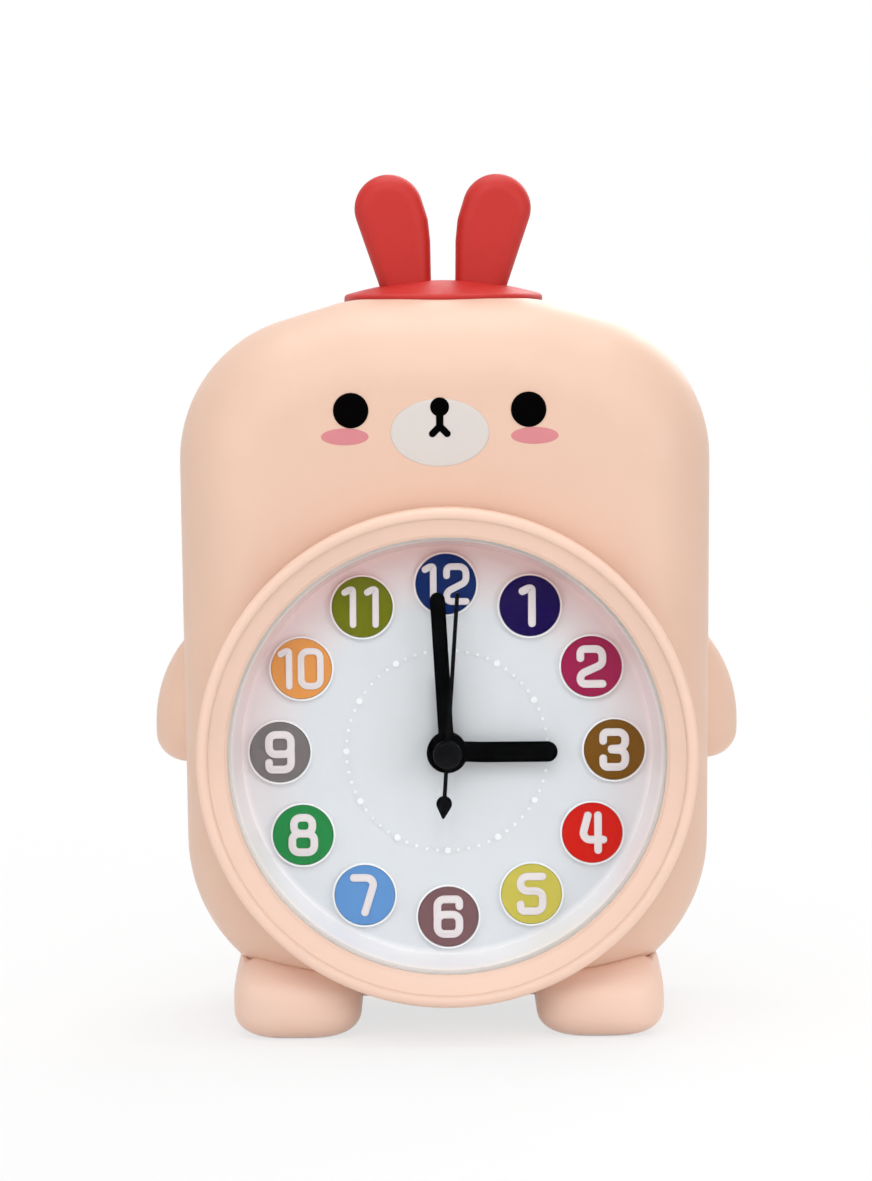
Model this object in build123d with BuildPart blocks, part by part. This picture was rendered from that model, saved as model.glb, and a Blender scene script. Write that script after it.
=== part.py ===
"""A child's alarm clock in the shape of a small standing animal, with its quartz movement.

Millimetres. +Z is up, the dial faces -Y, and the origin is under the middle of the clock on the
surface that it stands on. A depth is measured backwards from the flat of the case front.
"""

import math
import os

from build123d import *

os.makedirs("parts", exist_ok=True)

# Case: pairs of circles at the crown, the shoulders and the hips make its outline.
case_bottom = 6.3
case_height = 130.9
crown_reach = 14.5
crown_radius = 20.0
shoulder_width = 99.0
shoulder_radius = 27.0
shoulder_drop = 2.7
hip_width = 97.6
hip_radius = 30.5
case_depth = 62.0
cover_depth = 6.5
front_edge_radius = 16.0
rear_edge_radius = 6.0
wall = 2.2
overrun = 1.0
seat_gap = 0.1

# Locating lip between the two halves of the case
lip_length = 2.4
lip_gap = 0.15
lip_wall = 1.2

# Dial opening
dial_height = 53.3
collar_radius = 45.2
collar_bore = 43.1
collar_proud = 1.0
collar_length = 11.0
ledge_bore = 41.0
ledge_depth = 1.5
ledge_thickness = 2.2
fit_gap = 0.1

# Bezel ring
bezel_radius = 46.0
bezel_proud = 6.5
bezel_ridge = 2.2
bezel_groove = 0.3
bezel_window = 40.4
bezel_band_drop = 2.2
bezel_lip = 0.6
bezel_peg_radius = 0.7
bezel_peg_gap = 0.05
bezel_peg_length = 2.0
bezel_peg_count = 4

# Lens
lens_thickness = 1.5
lens_dome = 1.6
lens_seat_gap = 0.05

# Dial
dial_flange_inner = 39.8
dial_floor_radius = 38.3
dial_floor_depth = 9.0
dial_thickness = 1.5
dial_wall = 1.0
dial_boss_radius = 3.0
dial_boss_length = 4.0
number_ring_radius = 31.1
number_disc_radius = 5.6
number_disc_height = 0.8
number_count = 12
number_rim_radius = 6.0
number_rim_height = 1.0
minute_count = 60
pip_ring_radius = 18.75
pip_radius = 0.3
hour_pip_radius = 0.6
pip_height = 0.4

# Hands, from the dial outwards
hand_thickness = 0.6
hand_step = 1.9
alarm_hand_depth = 7.3
alarm_hand_length = 14.0
alarm_hand_width = 1.8
alarm_hub_radius = 3.6
hour_hand_length = 20.5
hour_hand_width = 3.8
hour_hub_radius = 3.6
minute_hand_length = 29.9
minute_hand_width = 2.8
minute_hub_radius = 3.8
second_hand_length = 30.0
second_hand_width = 0.75
second_tail_length = 11.9
second_tail_width = 2.9
second_tail_reach = 9.1
second_tip_radius = 0.25
second_cap_radius = 2.6
second_cap_height = 1.8
second_cap_round = 0.7
hour_hand_angle = 0.0
minute_hand_angle = 93.2
alarm_hand_angle = 93.2
second_hand_angle = 86.0

# Arbors and tubes of the hands
running_gap = 0.05
second_arbor_radius = 0.6
cannon_radius = 1.3
hour_tube_radius = 2.0
alarm_tube_radius = 2.7
tube_overlap = 0.4
pivot_radius = 0.5
pivot_length = 1.2

# Movement case
movement_width = 56.0
movement_height_share = 0.97
movement_lift_share = 0.158
movement_corner = 5.0
movement_wall = 1.5
movement_ear_reach = 5.0
movement_ear_width = 8.0
movement_ear_thickness = 1.5

# Wheel layers, counted from the movement's front plate backwards
wheel_thickness = 1.0
layer_gap = 1.0
alarm_layer = 0
hour_layer = 1
minute_layer = 2
centre_layer = 3
third_layer = 4
second_layer = 5
intermediate_layer = 6
rotor_layer = 7
magnet_length = 2.0

# Teeth
cannon_teeth = 10
minute_wheel_teeth = 30
minute_pinion_teeth = 8
hour_teeth = 32
time_pinion_teeth = 10
alarm_wheel_teeth = 30
alarm_pinion_teeth = 20
third_pinion_teeth = 8
centre_teeth = 64
third_teeth = 60
second_pinion_teeth = 8
second_teeth = 48
intermediate_pinion_teeth = 8
intermediate_teeth = 40
rotor_pinion_teeth = 8
pinion_most_teeth = 12
tooth_play = 0.14
tooth_height_share = 0.7
tooth_root_share = 1.0
pinion_waist_share = 0.75
flank_angle = 20.0

# Arbor distances, as shares of the movement's width, and directions, seen from the front
motion_share = 0.2143
minute_wheel_angle = 150.0
time_arbor_angle = 170.0
alarm_share = 0.2679
alarm_arbor_angle = 30.0
going_share = 0.2314
third_angle = 200.0
intermediate_share = 0.225
intermediate_angle = 80.0
rotor_share = 0.1714
rotor_angle = 90.0
arbor_radius = 0.6
post_radius = 1.2
clutch_radius = 3.6
clutch_thickness = 0.5

# Motor, with its outline as shares of the movement's width
magnet_share = 0.0536
magnet_gap = 0.5
stator_width_share = 0.4286
stator_height_share = 0.1786
stator_thickness = 1.0
stator_leg_width_share = 0.0714
stator_leg_length_share = 0.1071
coil_radius_share = 0.0464
coil_length_share = 0.2571

# Setting arbors and knobs
setting_radius = 1.5
setting_pivot_radius = 1.0
knob_radius = 6.5
knob_proud = 5.0
knob_gap = 0.5
knob_edge = 0.6
knob_socket_depth = 3.0
knob_flutes = 24
knob_flute_radius = 0.45

# Press button with ears
button_radius = 18.85
button_gap = 0.4
button_setback = 29.0
button_rim_rise = 0.8
button_dome = 2.75
button_thickness = 2.0
button_rim_round = 0.8
button_travel = 2.0
well_depth = 6.7
well_floor_thickness = 1.5
well_wall = 1.4
stem_radius = 3.2
stem_gap = 0.1
guide_wall = 1.5
guide_length = 3.0
clip_thickness = 0.8
clip_radius = 5.0
clip_neck = 0.9
clip_opening = 3.8
ear_rise = 22.8
ear_crown_radius = 6.5
ear_crown_reach = 10.25
ear_side_radius = 5.0
ear_waist_inner = 2.4
ear_waist_rise = 9.9
ear_bulge_inner = 2.75
ear_bulge_rise = 13.3
ear_foot_inner = 2.25
ear_foot_outer = 11.2
ear_foot_radius = 0.4
ear_thickness = 9.0
ear_edge_round = 3.0
spring_wire = 0.6
spring_radius = 6.5
spring_turns = 3
spring_seat_gap = 0.05

# Arms: a drop turned about an upright line inside the case wall
arm_inset = 2.8
arm_drop = 4.0
arm_corner_radius = 5.5
arm_radius = 9.65
arm_belly_rise = 7.5
arm_side_radius = 25.0
arm_peg_radius = 1.5
arm_peg_rise = 9.5
arm_peg_stub = 1.5
arm_peg_root = 3.0

# Feet
foot_reach = 28.2
foot_width = 23.9
foot_outer_radius = 5.2
foot_inner_radius = 7.0
foot_top_width = 21.6
foot_top_radius = 6.8
foot_top_height = 13.3
foot_front = 0.0
foot_setback = 5.0
foot_edge_radius = 5.0
foot_screw_spacing = 12.0
foot_pad_radius = 3.5
foot_pad_rise = 0.3
foot_pad_setback = 1.0

# Screws
screw_radius = 1.2
screw_play = 0.05
screw_hole_play = 0.35
screw_head_radius = 2.5
screw_head_height = 1.7
screw_well_play = 0.4
screw_slot_width = 0.7
screw_slot_depth = 0.8
case_screw_length = 14.0
foot_screw_length = 10.0
movement_screw_length = 4.6
board_screw_length = 6.0
case_boss_radius = 3.3
case_boss_front = 4.6
case_boss_inset = 8.7
cover_post_radius = 4.2
screw_well_depth = 3.6
shoulder_screw_angle = 10.0
hip_boss_gap = 1.2

# Battery and its box
battery_radius = 7.25
battery_length = 49.5
battery_nub_radius = 2.75
battery_nub_length = 1.0
battery_rise = 18.3
battery_setback = 13.5
battery_play = 0.9
battery_floor_gap = 0.2
battery_box_wall = 1.6
contact_thickness = 0.5
contact_width = 11.0
battery_spring_length = 6.0
battery_spring_wire = 0.7
battery_spring_radius = 4.6
battery_spring_tip_radius = 2.6
battery_spring_turns = 3
door_thickness = 1.8
door_gap = 0.3
door_ledge = 1.9
door_frame = 1.6
door_frame_thickness = 2.4
door_seat_gap = 0.2
door_pin_radius = 0.6
door_pin_length = 1.1
door_pin_gap = 0.06
door_notch_radius = 6.0
door_notch_depth = 1.0
door_grip_count = 4
door_grip_width = 0.8
door_grip_step = 1.8
door_grip_height = 0.4

# Alarm slide switch
switch_drop = 14.0
switch_travel = 5.0
switch_nub_width = 4.6
switch_nub_height = 3.4
switch_nub_proud = 1.6
switch_slide_gap = 0.3
switch_plate_width = 16.0
switch_plate_height = 7.0
switch_plate_thickness = 1.2
switch_box_wall = 1.4

# Sound slots in the rear cover
sound_drop = 1.5
sound_slot_count = 7
sound_slot_step = 3.2
sound_slot_width = 1.5
sound_reach = 11.5

# Circuit board
board_width = 48.0
board_height = 27.0
board_top_gap = 3.5
board_setback = 7.5
board_thickness = 1.6
board_post_radius = 2.5
board_post_inset = 4.0
switch_body_width = 6.2
switch_body_height = 6.5
switch_body_length = 8.6
switch_body_drop = 13.0
plunger_radius = 1.4
plunger_offset = 1.5
plunger_height = 1.5
plunger_clearance = 0.2
lamp_radius = 2.5
lamp_length = 5.0
lamp_reach = 9.0
lamp_rise = 5.0
chip_width = 10.0
chip_length = 8.0
chip_thickness = 1.8
chip_reach = 13.0
chip_rise = 16.0
crystal_radius = 1.5
crystal_length = 8.0
crystal_reach = 12.0
crystal_rise = 6.0
buzzer_radius = 11.0
buzzer_length = 7.0
buzzer_port_radius = 1.5
buzzer_port_depth = 1.0

# Places worked out from the sizes above
case_top = case_bottom + case_height
middle_depth = (case_depth + knob_proud - bezel_proud) / 2
seam_depth = case_depth - cover_depth
shoulder_reach = shoulder_width / 2 - shoulder_radius
shoulder_height = case_top - shoulder_drop - shoulder_radius
crown_height = case_top - crown_radius
hip_reach = hip_width / 2 - hip_radius
hip_height = case_bottom + hip_radius
dial_rear = dial_floor_depth + dial_thickness
plate_rear = dial_rear + movement_wall
layer_step = wheel_thickness + layer_gap
movement_rear = plate_rear + layer_gap + layer_step * (rotor_layer + 1) + layer_gap
cover_rear = movement_rear + movement_wall
hour_hand_depth = alarm_hand_depth - hand_step
minute_hand_depth = hour_hand_depth - hand_step
second_hand_depth = minute_hand_depth - hand_step
lens_front = -lens_thickness
shank_hole = screw_radius + screw_play
clear_hole = screw_radius + screw_hole_play
button_depth = case_depth - button_setback
button_rim_height = case_top + button_rim_rise
well_floor = case_top - well_depth
ear_height = button_rim_height + ear_rise
ear_waist_height = button_rim_height + ear_waist_rise
ear_bulge_height = button_rim_height + ear_bulge_rise
arm_axis_reach = hip_width / 2 - arm_inset
arm_bottom = dial_height - arm_drop
arm_belly = arm_bottom + arm_belly_rise
arm_peg_height = arm_bottom + arm_peg_rise
foot_rear = case_depth - foot_setback
screw_seat_depth = case_depth - screw_well_depth
battery_height = case_bottom + battery_rise
battery_depth = case_depth - battery_setback
board_top = well_floor - well_floor_thickness - board_top_gap
board_bottom = board_top - board_height
board_front = button_depth + board_setback
sound_height = (board_bottom + board_top) / 2 - sound_drop
switch_height = board_bottom - switch_drop
switch_body_bottom = board_top - switch_body_drop
switch_body_front = board_front - switch_body_length
plunger_depth = button_depth + plunger_offset
lamp_height = board_bottom + lamp_rise
chip_height = board_bottom + chip_rise
crystal_height = board_bottom + crystal_rise
movement_height = movement_width * movement_height_share
movement_lift = movement_width * movement_lift_share
dial_boss_reach = movement_width / 2 + movement_ear_reach
motion_distance = movement_width * motion_share
alarm_distance = movement_width * alarm_share
going_distance = movement_width * going_share
intermediate_distance = movement_width * intermediate_share
rotor_distance = movement_width * rotor_share
magnet_radius = movement_width * magnet_share
stator_width = movement_width * stator_width_share
stator_height = movement_width * stator_height_share
stator_leg_width = movement_width * stator_leg_width_share
stator_leg_length = movement_width * stator_leg_length_share
coil_radius = movement_width * coil_radius_share
coil_length = movement_width * coil_length_share
dial_axis = Axis((0, 0, dial_height), (0, 1, 0))


def facing(depth):
    """A sketch plane at a depth, seen from the front: x to the right and y up."""
    return Plane(origin=(0, depth - middle_depth, 0), x_dir=(1, 0, 0), z_dir=(0, -1, 0))


def button_level(height):
    """A level sketch plane about the press button's upright axis."""
    return Plane(origin=(0, button_depth - middle_depth, height))


def turned(points):
    """Radius and depth pairs as points of a profile that turns about the dial's axis."""
    return [(radius, depth - middle_depth) for radius, depth in points]


def away(place, distance, angle):
    """The place at a distance and direction from another, in the plane of the dial."""
    turn = math.radians(angle)
    return (place[0] + distance * math.cos(turn), place[1] + distance * math.sin(turn))


def layer_depth(layer):
    """The front of a wheel layer."""
    return plate_rear + layer_gap + layer * layer_step


def case_form(inset, front, rear, front_round=0, rear_round=0):
    """The body of the case, drawn in by an inset, between two depths."""
    with BuildPart() as form:
        with BuildSketch(facing(rear)):
            with Locations((-crown_reach, crown_height), (crown_reach, crown_height)):
                Circle(crown_radius - inset)
            with Locations((-shoulder_reach, shoulder_height), (shoulder_reach, shoulder_height)):
                Circle(shoulder_radius - inset)
            with Locations((-hip_reach, hip_height), (hip_reach, hip_height)):
                Circle(hip_radius - inset)
            make_hull()
        extrude(amount=rear - front)
        if front_round:
            fillet(form.faces().sort_by(Axis.Y)[0].edges(), front_round)
        if rear_round:
            fillet(form.faces().sort_by(Axis.Y)[-1].edges(), rear_round)
    return form.part


def gear_points(teeth, module, phase):
    """The outline of a wheel or pinion, with one tooth's middle at the phase angle."""
    pitch_radius = teeth * module / 2
    tip_radius = pitch_radius + tooth_height_share * module
    root_radius = pitch_radius - tooth_root_share * module
    lean = math.tan(math.radians(flank_angle))
    pitch_half = math.pi * module / 4 - tooth_play / 2
    tip_half = pitch_half - lean * tooth_height_share * module
    root_half = pitch_half + lean * tooth_root_share * module
    if teeth <= pinion_most_teeth:
        root_half = pitch_half * pinion_waist_share
    flank = ((root_radius, root_half), (pitch_radius, pitch_half), (tip_radius, tip_half))
    points = []
    for tooth in range(teeth):
        middle = math.radians(phase) + tooth * 2 * math.pi / teeth
        for radius, half in flank:
            turn = middle - half / radius
            points.append((radius * math.cos(turn), radius * math.sin(turn)))
        for radius, half in reversed(flank):
            turn = middle + half / radius
            points.append((radius * math.cos(turn), radius * math.sin(turn)))
    return points


def partner_phase(phase, teeth, direction, partner_teeth):
    """The phase of a gear that meshes with another one in a given direction from it."""
    place_in_pitch = (direction - phase) * teeth / 360
    return direction + 180 - (0.5 - place_in_pitch) * 360 / partner_teeth


def gear(layer, place, teeth, module, phase, bore):
    """One toothed wheel in its layer, with a bore."""
    with BuildPart() as wheel:
        with BuildSketch(facing(layer_depth(layer) + wheel_thickness)):
            with Locations(place):
                Polygon(*gear_points(teeth, module, phase), align=None)
                Circle(bore, mode=Mode.SUBTRACT)
        extrude(amount=wheel_thickness)
    return wheel.part


def rod(place, radius, front, rear, bore=0):
    """A round bar or tube along the depth."""
    with BuildPart() as bar:
        with BuildSketch(facing(rear)):
            with Locations(place):
                Circle(radius)
                if bore:
                    Circle(bore, mode=Mode.SUBTRACT)
        extrude(amount=rear - front)
    return bar.part


def bar_hand(depth, length, width, hub_radius, bore, angle):
    """A flat hand with a round hub and a round tip."""
    with BuildPart() as hand:
        with BuildSketch(facing(depth + hand_thickness)):
            with Locations(Location((0, dial_height, 0), (0, 0, angle))):
                Circle(hub_radius)
                Rectangle(length - width / 2, width, align=(Align.MIN, Align.CENTER))
            with Locations(away((0, dial_height), length - width / 2, angle)):
                Circle(width / 2)
            with Locations((0, dial_height)):
                Circle(bore, mode=Mode.SUBTRACT)
        extrude(amount=hand_thickness)
    return hand.part


def screws(places, seat_plane, length):
    """A group of screws with crossed slots; the plane is their seat, facing down the shanks."""
    slot_length = 2 * (screw_head_radius - screw_slot_width)
    with BuildPart() as group:
        with BuildSketch(seat_plane):
            with Locations(*places):
                Circle(screw_radius)
        extrude(amount=length)
        with BuildSketch(seat_plane):
            with Locations(*places):
                Circle(screw_head_radius)
        extrude(amount=-screw_head_height)
        with BuildSketch(seat_plane.offset(-screw_head_height)):
            with Locations(*places):
                Rectangle(slot_length, screw_slot_width)
                Rectangle(screw_slot_width, slot_length)
        extrude(amount=screw_slot_depth, mode=Mode.SUBTRACT)
    return group.part


# Places of the arbors and the gear sizes
dial_place = (0, dial_height)
minute_place = away(dial_place, motion_distance, minute_wheel_angle)
time_place = away(minute_place, motion_distance, time_arbor_angle)
alarm_place = away(dial_place, alarm_distance, alarm_arbor_angle)
third_place = away(dial_place, going_distance, third_angle)
intermediate_place = away(dial_place, intermediate_distance, intermediate_angle)
rotor_place = away(intermediate_place, rotor_distance, rotor_angle)
motion_module = 2 * motion_distance / (cannon_teeth + minute_wheel_teeth)
hour_module = 2 * motion_distance / (minute_pinion_teeth + hour_teeth)
alarm_module = 2 * alarm_distance / (alarm_wheel_teeth + alarm_pinion_teeth)
centre_module = 2 * going_distance / (third_pinion_teeth + centre_teeth)
third_module = 2 * going_distance / (second_pinion_teeth + third_teeth)
second_module = 2 * intermediate_distance / (intermediate_pinion_teeth + second_teeth)
rotor_module = 2 * rotor_distance / (rotor_pinion_teeth + intermediate_teeth)
minute_phase = partner_phase(0, cannon_teeth, minute_wheel_angle, minute_wheel_teeth)
time_phase = partner_phase(minute_phase, minute_wheel_teeth, time_arbor_angle, time_pinion_teeth)
hour_phase = partner_phase(0, minute_pinion_teeth, minute_wheel_angle + 180, hour_teeth)
alarm_phase = partner_phase(0, alarm_wheel_teeth, alarm_arbor_angle, alarm_pinion_teeth)
centre_phase = partner_phase(0, third_pinion_teeth, third_angle + 180, centre_teeth)
second_phase = partner_phase(0, third_teeth, third_angle + 180, second_pinion_teeth)
intermediate_phase = partner_phase(0, second_teeth, intermediate_angle, intermediate_pinion_teeth)
rotor_phase = partner_phase(0, intermediate_teeth, rotor_angle, rotor_pinion_teeth)

# Battery box sizes
box_half_height = battery_radius + battery_play
cell_length = battery_length + battery_nub_length
box_half_length = (cell_length + battery_spring_length + 2 * contact_thickness) / 2
box_front = battery_depth - battery_radius - battery_floor_gap - battery_box_wall
door_half_width = box_half_length + door_ledge
door_half_height = box_half_height + door_ledge
door_front = case_depth - door_thickness
recess_depth = door_front - door_seat_gap
hinge_depth = case_depth - door_thickness / 2
hinge_height = battery_height - door_half_height + door_thickness / 2

# Screw places
shoulder_boss_reach = shoulder_radius - case_boss_inset
hip_boss_reach = hip_radius - case_boss_inset
shoulder_boss = away((shoulder_reach, shoulder_height), shoulder_boss_reach, shoulder_screw_angle)
hip_boss_side = box_half_length + battery_box_wall + hip_boss_gap + case_boss_radius
hip_boss_drop = math.sqrt(hip_boss_reach**2 - (hip_boss_side - hip_reach) ** 2)
hip_boss = (hip_boss_side, hip_height - hip_boss_drop)
case_boss_places = [
    shoulder_boss,
    (-shoulder_boss[0], shoulder_boss[1]),
    hip_boss,
    (-hip_boss[0], hip_boss[1]),
]
foot_screw_front = front_edge_radius + foot_pad_radius + foot_pad_setback
foot_screw_depths = [foot_screw_front, foot_screw_front + foot_screw_spacing]
foot_screw_places = [
    (side * foot_reach, depth - middle_depth) for side in (-1, 1) for depth in foot_screw_depths
]
foot_pad_edge = foot_reach + foot_pad_radius - hip_reach
foot_pad_bottom = hip_height - math.sqrt(hip_radius**2 - foot_pad_edge**2)
foot_pad_inner = hip_height - math.sqrt((hip_radius - wall) ** 2 - foot_pad_edge**2)
foot_pad_top = foot_pad_inner + foot_pad_rise
board_post_reach = board_width / 2 - board_post_inset
board_post_places = [
    (side * board_post_reach, height)
    for side in (-1, 1)
    for height in (board_bottom + board_post_inset, board_top - board_post_inset)
]
board_rear = board_front + board_thickness
cover_inside = case_depth - wall

# Press button heights
button_bottom = button_rim_height - button_thickness
plunger_top = switch_body_bottom + switch_body_height + plunger_height
stem_bottom = plunger_top + button_travel + plunger_clearance
guide_bottom = well_floor - well_floor_thickness - guide_length
clip_top = guide_bottom - stem_gap
well_radius = button_radius + button_gap

# Forms shared by several pieces
outer_form = case_form(0, 0, seam_depth, front_edge_radius)
cavity_form = case_form(wall, wall, seam_depth + overrun, front_edge_radius - wall)
cover_form = case_form(0, seam_depth, case_depth, 0, rear_edge_radius)
cover_inset = wall + lip_gap + lip_wall
lip_form = case_form(wall + lip_gap, seam_depth - lip_length, seam_depth + overrun)
cover_cavity = case_form(
    cover_inset, seam_depth - lip_length - overrun, cover_inside, 0, rear_edge_radius - cover_inset
)
seat_form = case_form(
    -seat_gap,
    -seat_gap,
    case_depth + seat_gap,
    front_edge_radius + seat_gap,
    rear_edge_radius + seat_gap,
)
collar_seat = rod(dial_place, collar_radius + seat_gap, -collar_proud - overrun, collar_length)

# Front case: moulded shell with the dial collar, the button well and the screw bosses
with BuildPart() as front_case:
    add(outer_form)
    add(cavity_form, mode=Mode.SUBTRACT)
    with BuildSketch(facing(collar_length - overrun)):
        with Locations(dial_place):
            Circle((collar_radius + collar_bore) / 2)
    extrude(amount=collar_length, mode=Mode.SUBTRACT)
    with BuildSketch(Plane.XY.offset(dial_height)):
        with BuildLine():
            Polyline(
                *turned(
                    [
                        (collar_radius, -collar_proud),
                        (collar_radius, collar_length - collar_proud),
                        (collar_bore, collar_length - collar_proud),
                        (collar_bore, ledge_depth + ledge_thickness),
                        (ledge_bore, ledge_depth + ledge_thickness),
                        (ledge_bore, ledge_depth),
                        (collar_bore, ledge_depth),
                        (collar_bore, -collar_proud),
                    ]
                ),
                close=True,
            )
        make_face()
    revolve(axis=dial_axis)
    with BuildSketch(facing(-collar_proud)):
        with Locations(dial_place):
            with PolarLocations((collar_radius + collar_bore) / 2, bezel_peg_count):
                Circle(bezel_peg_radius + bezel_peg_gap)
    extrude(amount=-bezel_peg_length - bezel_peg_gap, mode=Mode.SUBTRACT)
    with BuildSketch(button_level(well_floor - well_floor_thickness)):
        Circle(well_radius + well_wall)
    extrude(amount=case_top - wall - well_floor + well_floor_thickness)
    with BuildSketch(button_level(guide_bottom)):
        Circle(stem_radius + stem_gap + guide_wall)
    extrude(amount=guide_length)
    with BuildSketch(button_level(well_floor)):
        Circle(well_radius)
    extrude(amount=case_top - well_floor + overrun, mode=Mode.SUBTRACT)
    with BuildSketch(button_level(guide_bottom - overrun)):
        Circle(stem_radius + stem_gap)
    extrude(amount=guide_length + well_floor_thickness + 2 * overrun, mode=Mode.SUBTRACT)
    with BuildSketch(facing(seam_depth)):
        with Locations(*case_boss_places):
            Circle(case_boss_radius)
    extrude(amount=seam_depth - case_boss_front)
    with BuildSketch(facing(seam_depth)):
        with Locations(*case_boss_places):
            Circle(shank_hole)
    extrude(amount=case_screw_length, mode=Mode.SUBTRACT)
    with BuildSketch(Plane.XY.offset(foot_pad_bottom)):
        with Locations(*foot_screw_places):
            Circle(foot_pad_radius)
    extrude(amount=foot_pad_top - foot_pad_bottom)
    with BuildSketch(Plane.XY.offset(case_bottom)):
        with Locations(*foot_screw_places):
            Circle(clear_hole)
    extrude(amount=foot_pad_top, mode=Mode.SUBTRACT)
    arm_peg_origin = (0, button_depth - middle_depth, arm_peg_height)
    with BuildSketch(Plane(origin=arm_peg_origin, x_dir=(0, 1, 0), z_dir=(1, 0, 0))):
        Circle(arm_peg_radius + fit_gap)
    extrude(amount=shoulder_width, both=True, mode=Mode.SUBTRACT)

# Rear cover: shallow tray with the battery box, screw wells, knob holes, slots and board posts
with BuildPart() as rear_cover:
    add(cover_form)
    add(lip_form)
    add(cover_cavity, mode=Mode.SUBTRACT)
    with BuildSketch(button_level(guide_bottom)):
        Circle(well_radius + well_wall + seat_gap)
    extrude(amount=case_top - wall - guide_bottom, mode=Mode.SUBTRACT)
    with BuildSketch(facing(cover_inside)):
        with Locations(*case_boss_places):
            Circle(cover_post_radius)
    extrude(amount=cover_inside - seam_depth)
    with BuildSketch(facing(cover_inside)):
        with Locations(*board_post_places):
            Circle(board_post_radius)
    extrude(amount=cover_inside - board_rear)
    with BuildSketch(facing(cover_inside)):
        with Locations((0, battery_height)):
            Rectangle(
                2 * (box_half_length + battery_box_wall), 2 * (box_half_height + battery_box_wall)
            )
    extrude(amount=cover_inside - box_front)
    with BuildSketch(facing(cover_inside)):
        with Locations((0, battery_height)):
            Rectangle(
                2 * (door_half_width + door_gap + door_frame),
                2 * (door_half_height + door_gap + door_frame),
            )
    extrude(amount=door_frame_thickness)
    with BuildSketch(facing(case_depth)):
        with Locations((0, battery_height)):
            Rectangle(2 * box_half_length, 2 * box_half_height)
    extrude(amount=case_depth - box_front - battery_box_wall, mode=Mode.SUBTRACT)
    with BuildSketch(facing(case_depth)):
        with Locations((0, battery_height)):
            Rectangle(2 * (door_half_width + door_gap), 2 * (door_half_height + door_gap))
    extrude(amount=case_depth - recess_depth, mode=Mode.SUBTRACT)
    with BuildSketch(facing(case_depth)):
        with Locations((0, battery_height + door_half_height + door_gap)):
            Circle(door_notch_radius)
    extrude(amount=door_notch_depth, mode=Mode.SUBTRACT)
    hinge_origin = (0, hinge_depth - middle_depth, hinge_height)
    with BuildSketch(Plane(origin=hinge_origin, x_dir=(0, 1, 0), z_dir=(1, 0, 0))):
        Circle(door_pin_radius + door_pin_gap)
    extrude(amount=door_half_width + door_pin_length + door_gap, both=True, mode=Mode.SUBTRACT)
    with BuildSketch(facing(case_depth)):
        with Locations(*case_boss_places):
            Circle(clear_hole)
    extrude(amount=cover_depth, mode=Mode.SUBTRACT)
    with BuildSketch(facing(case_depth)):
        with Locations(*case_boss_places):
            Circle(screw_head_radius + screw_well_play)
    extrude(amount=case_depth - screw_seat_depth, mode=Mode.SUBTRACT)
    with BuildSketch(facing(case_depth)):
        with Locations(time_place, alarm_place):
            Circle(setting_radius + fit_gap)
    extrude(amount=wall, mode=Mode.SUBTRACT)
    with BuildSketch(facing(case_depth)):
        with Locations((0, switch_height)):
            Rectangle(
                switch_nub_width + switch_travel + 2 * switch_slide_gap,
                switch_nub_height + 2 * switch_slide_gap,
            )
    extrude(amount=wall, mode=Mode.SUBTRACT)
    with BuildSketch(facing(case_depth)):
        for slot in range(sound_slot_count):
            rise = (slot - (sound_slot_count - 1) / 2) * sound_slot_step
            half_chord = math.sqrt(sound_reach**2 - rise**2)
            with Locations((0, sound_height + rise)):
                SlotOverall(2 * half_chord, sound_slot_width)
    extrude(amount=wall, mode=Mode.SUBTRACT)
    with BuildSketch(facing(board_rear)):
        with Locations(*board_post_places):
            Circle(shank_hole)
    extrude(amount=-board_screw_length, mode=Mode.SUBTRACT)

# Bezel ring with a rounded outer ridge and a sloping inner band
ridge_round = bezel_ridge / 2
ridge_inner = bezel_radius - bezel_ridge
ridge_foot = -bezel_proud + ridge_round
band_top = ridge_foot + bezel_groove
band_bottom = band_top + bezel_band_drop
with BuildPart() as bezel_ring:
    with BuildSketch(Plane.XY.offset(dial_height)):
        with BuildLine():
            corners = turned(
                [
                    (bezel_radius, ridge_foot),
                    (bezel_radius, -collar_proud),
                    (collar_bore - fit_gap, -collar_proud),
                    (collar_bore - fit_gap, lens_front),
                    (bezel_window, lens_front),
                    (bezel_window, band_bottom),
                    (bezel_window + bezel_lip, band_bottom - bezel_lip),
                    (ridge_inner, band_top),
                    (ridge_inner, ridge_foot),
                ]
            )
            Polyline(*corners)
            crest = turned([(bezel_radius - ridge_round, -bezel_proud)])[0]
            ThreePointArc(corners[-1], crest, corners[0])
        make_face()
    revolve(axis=dial_axis)
    with BuildSketch(facing(-collar_proud)):
        with Locations(dial_place):
            with PolarLocations((collar_radius + collar_bore) / 2, bezel_peg_count):
                Circle(bezel_peg_radius)
    extrude(amount=-bezel_peg_length)

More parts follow.
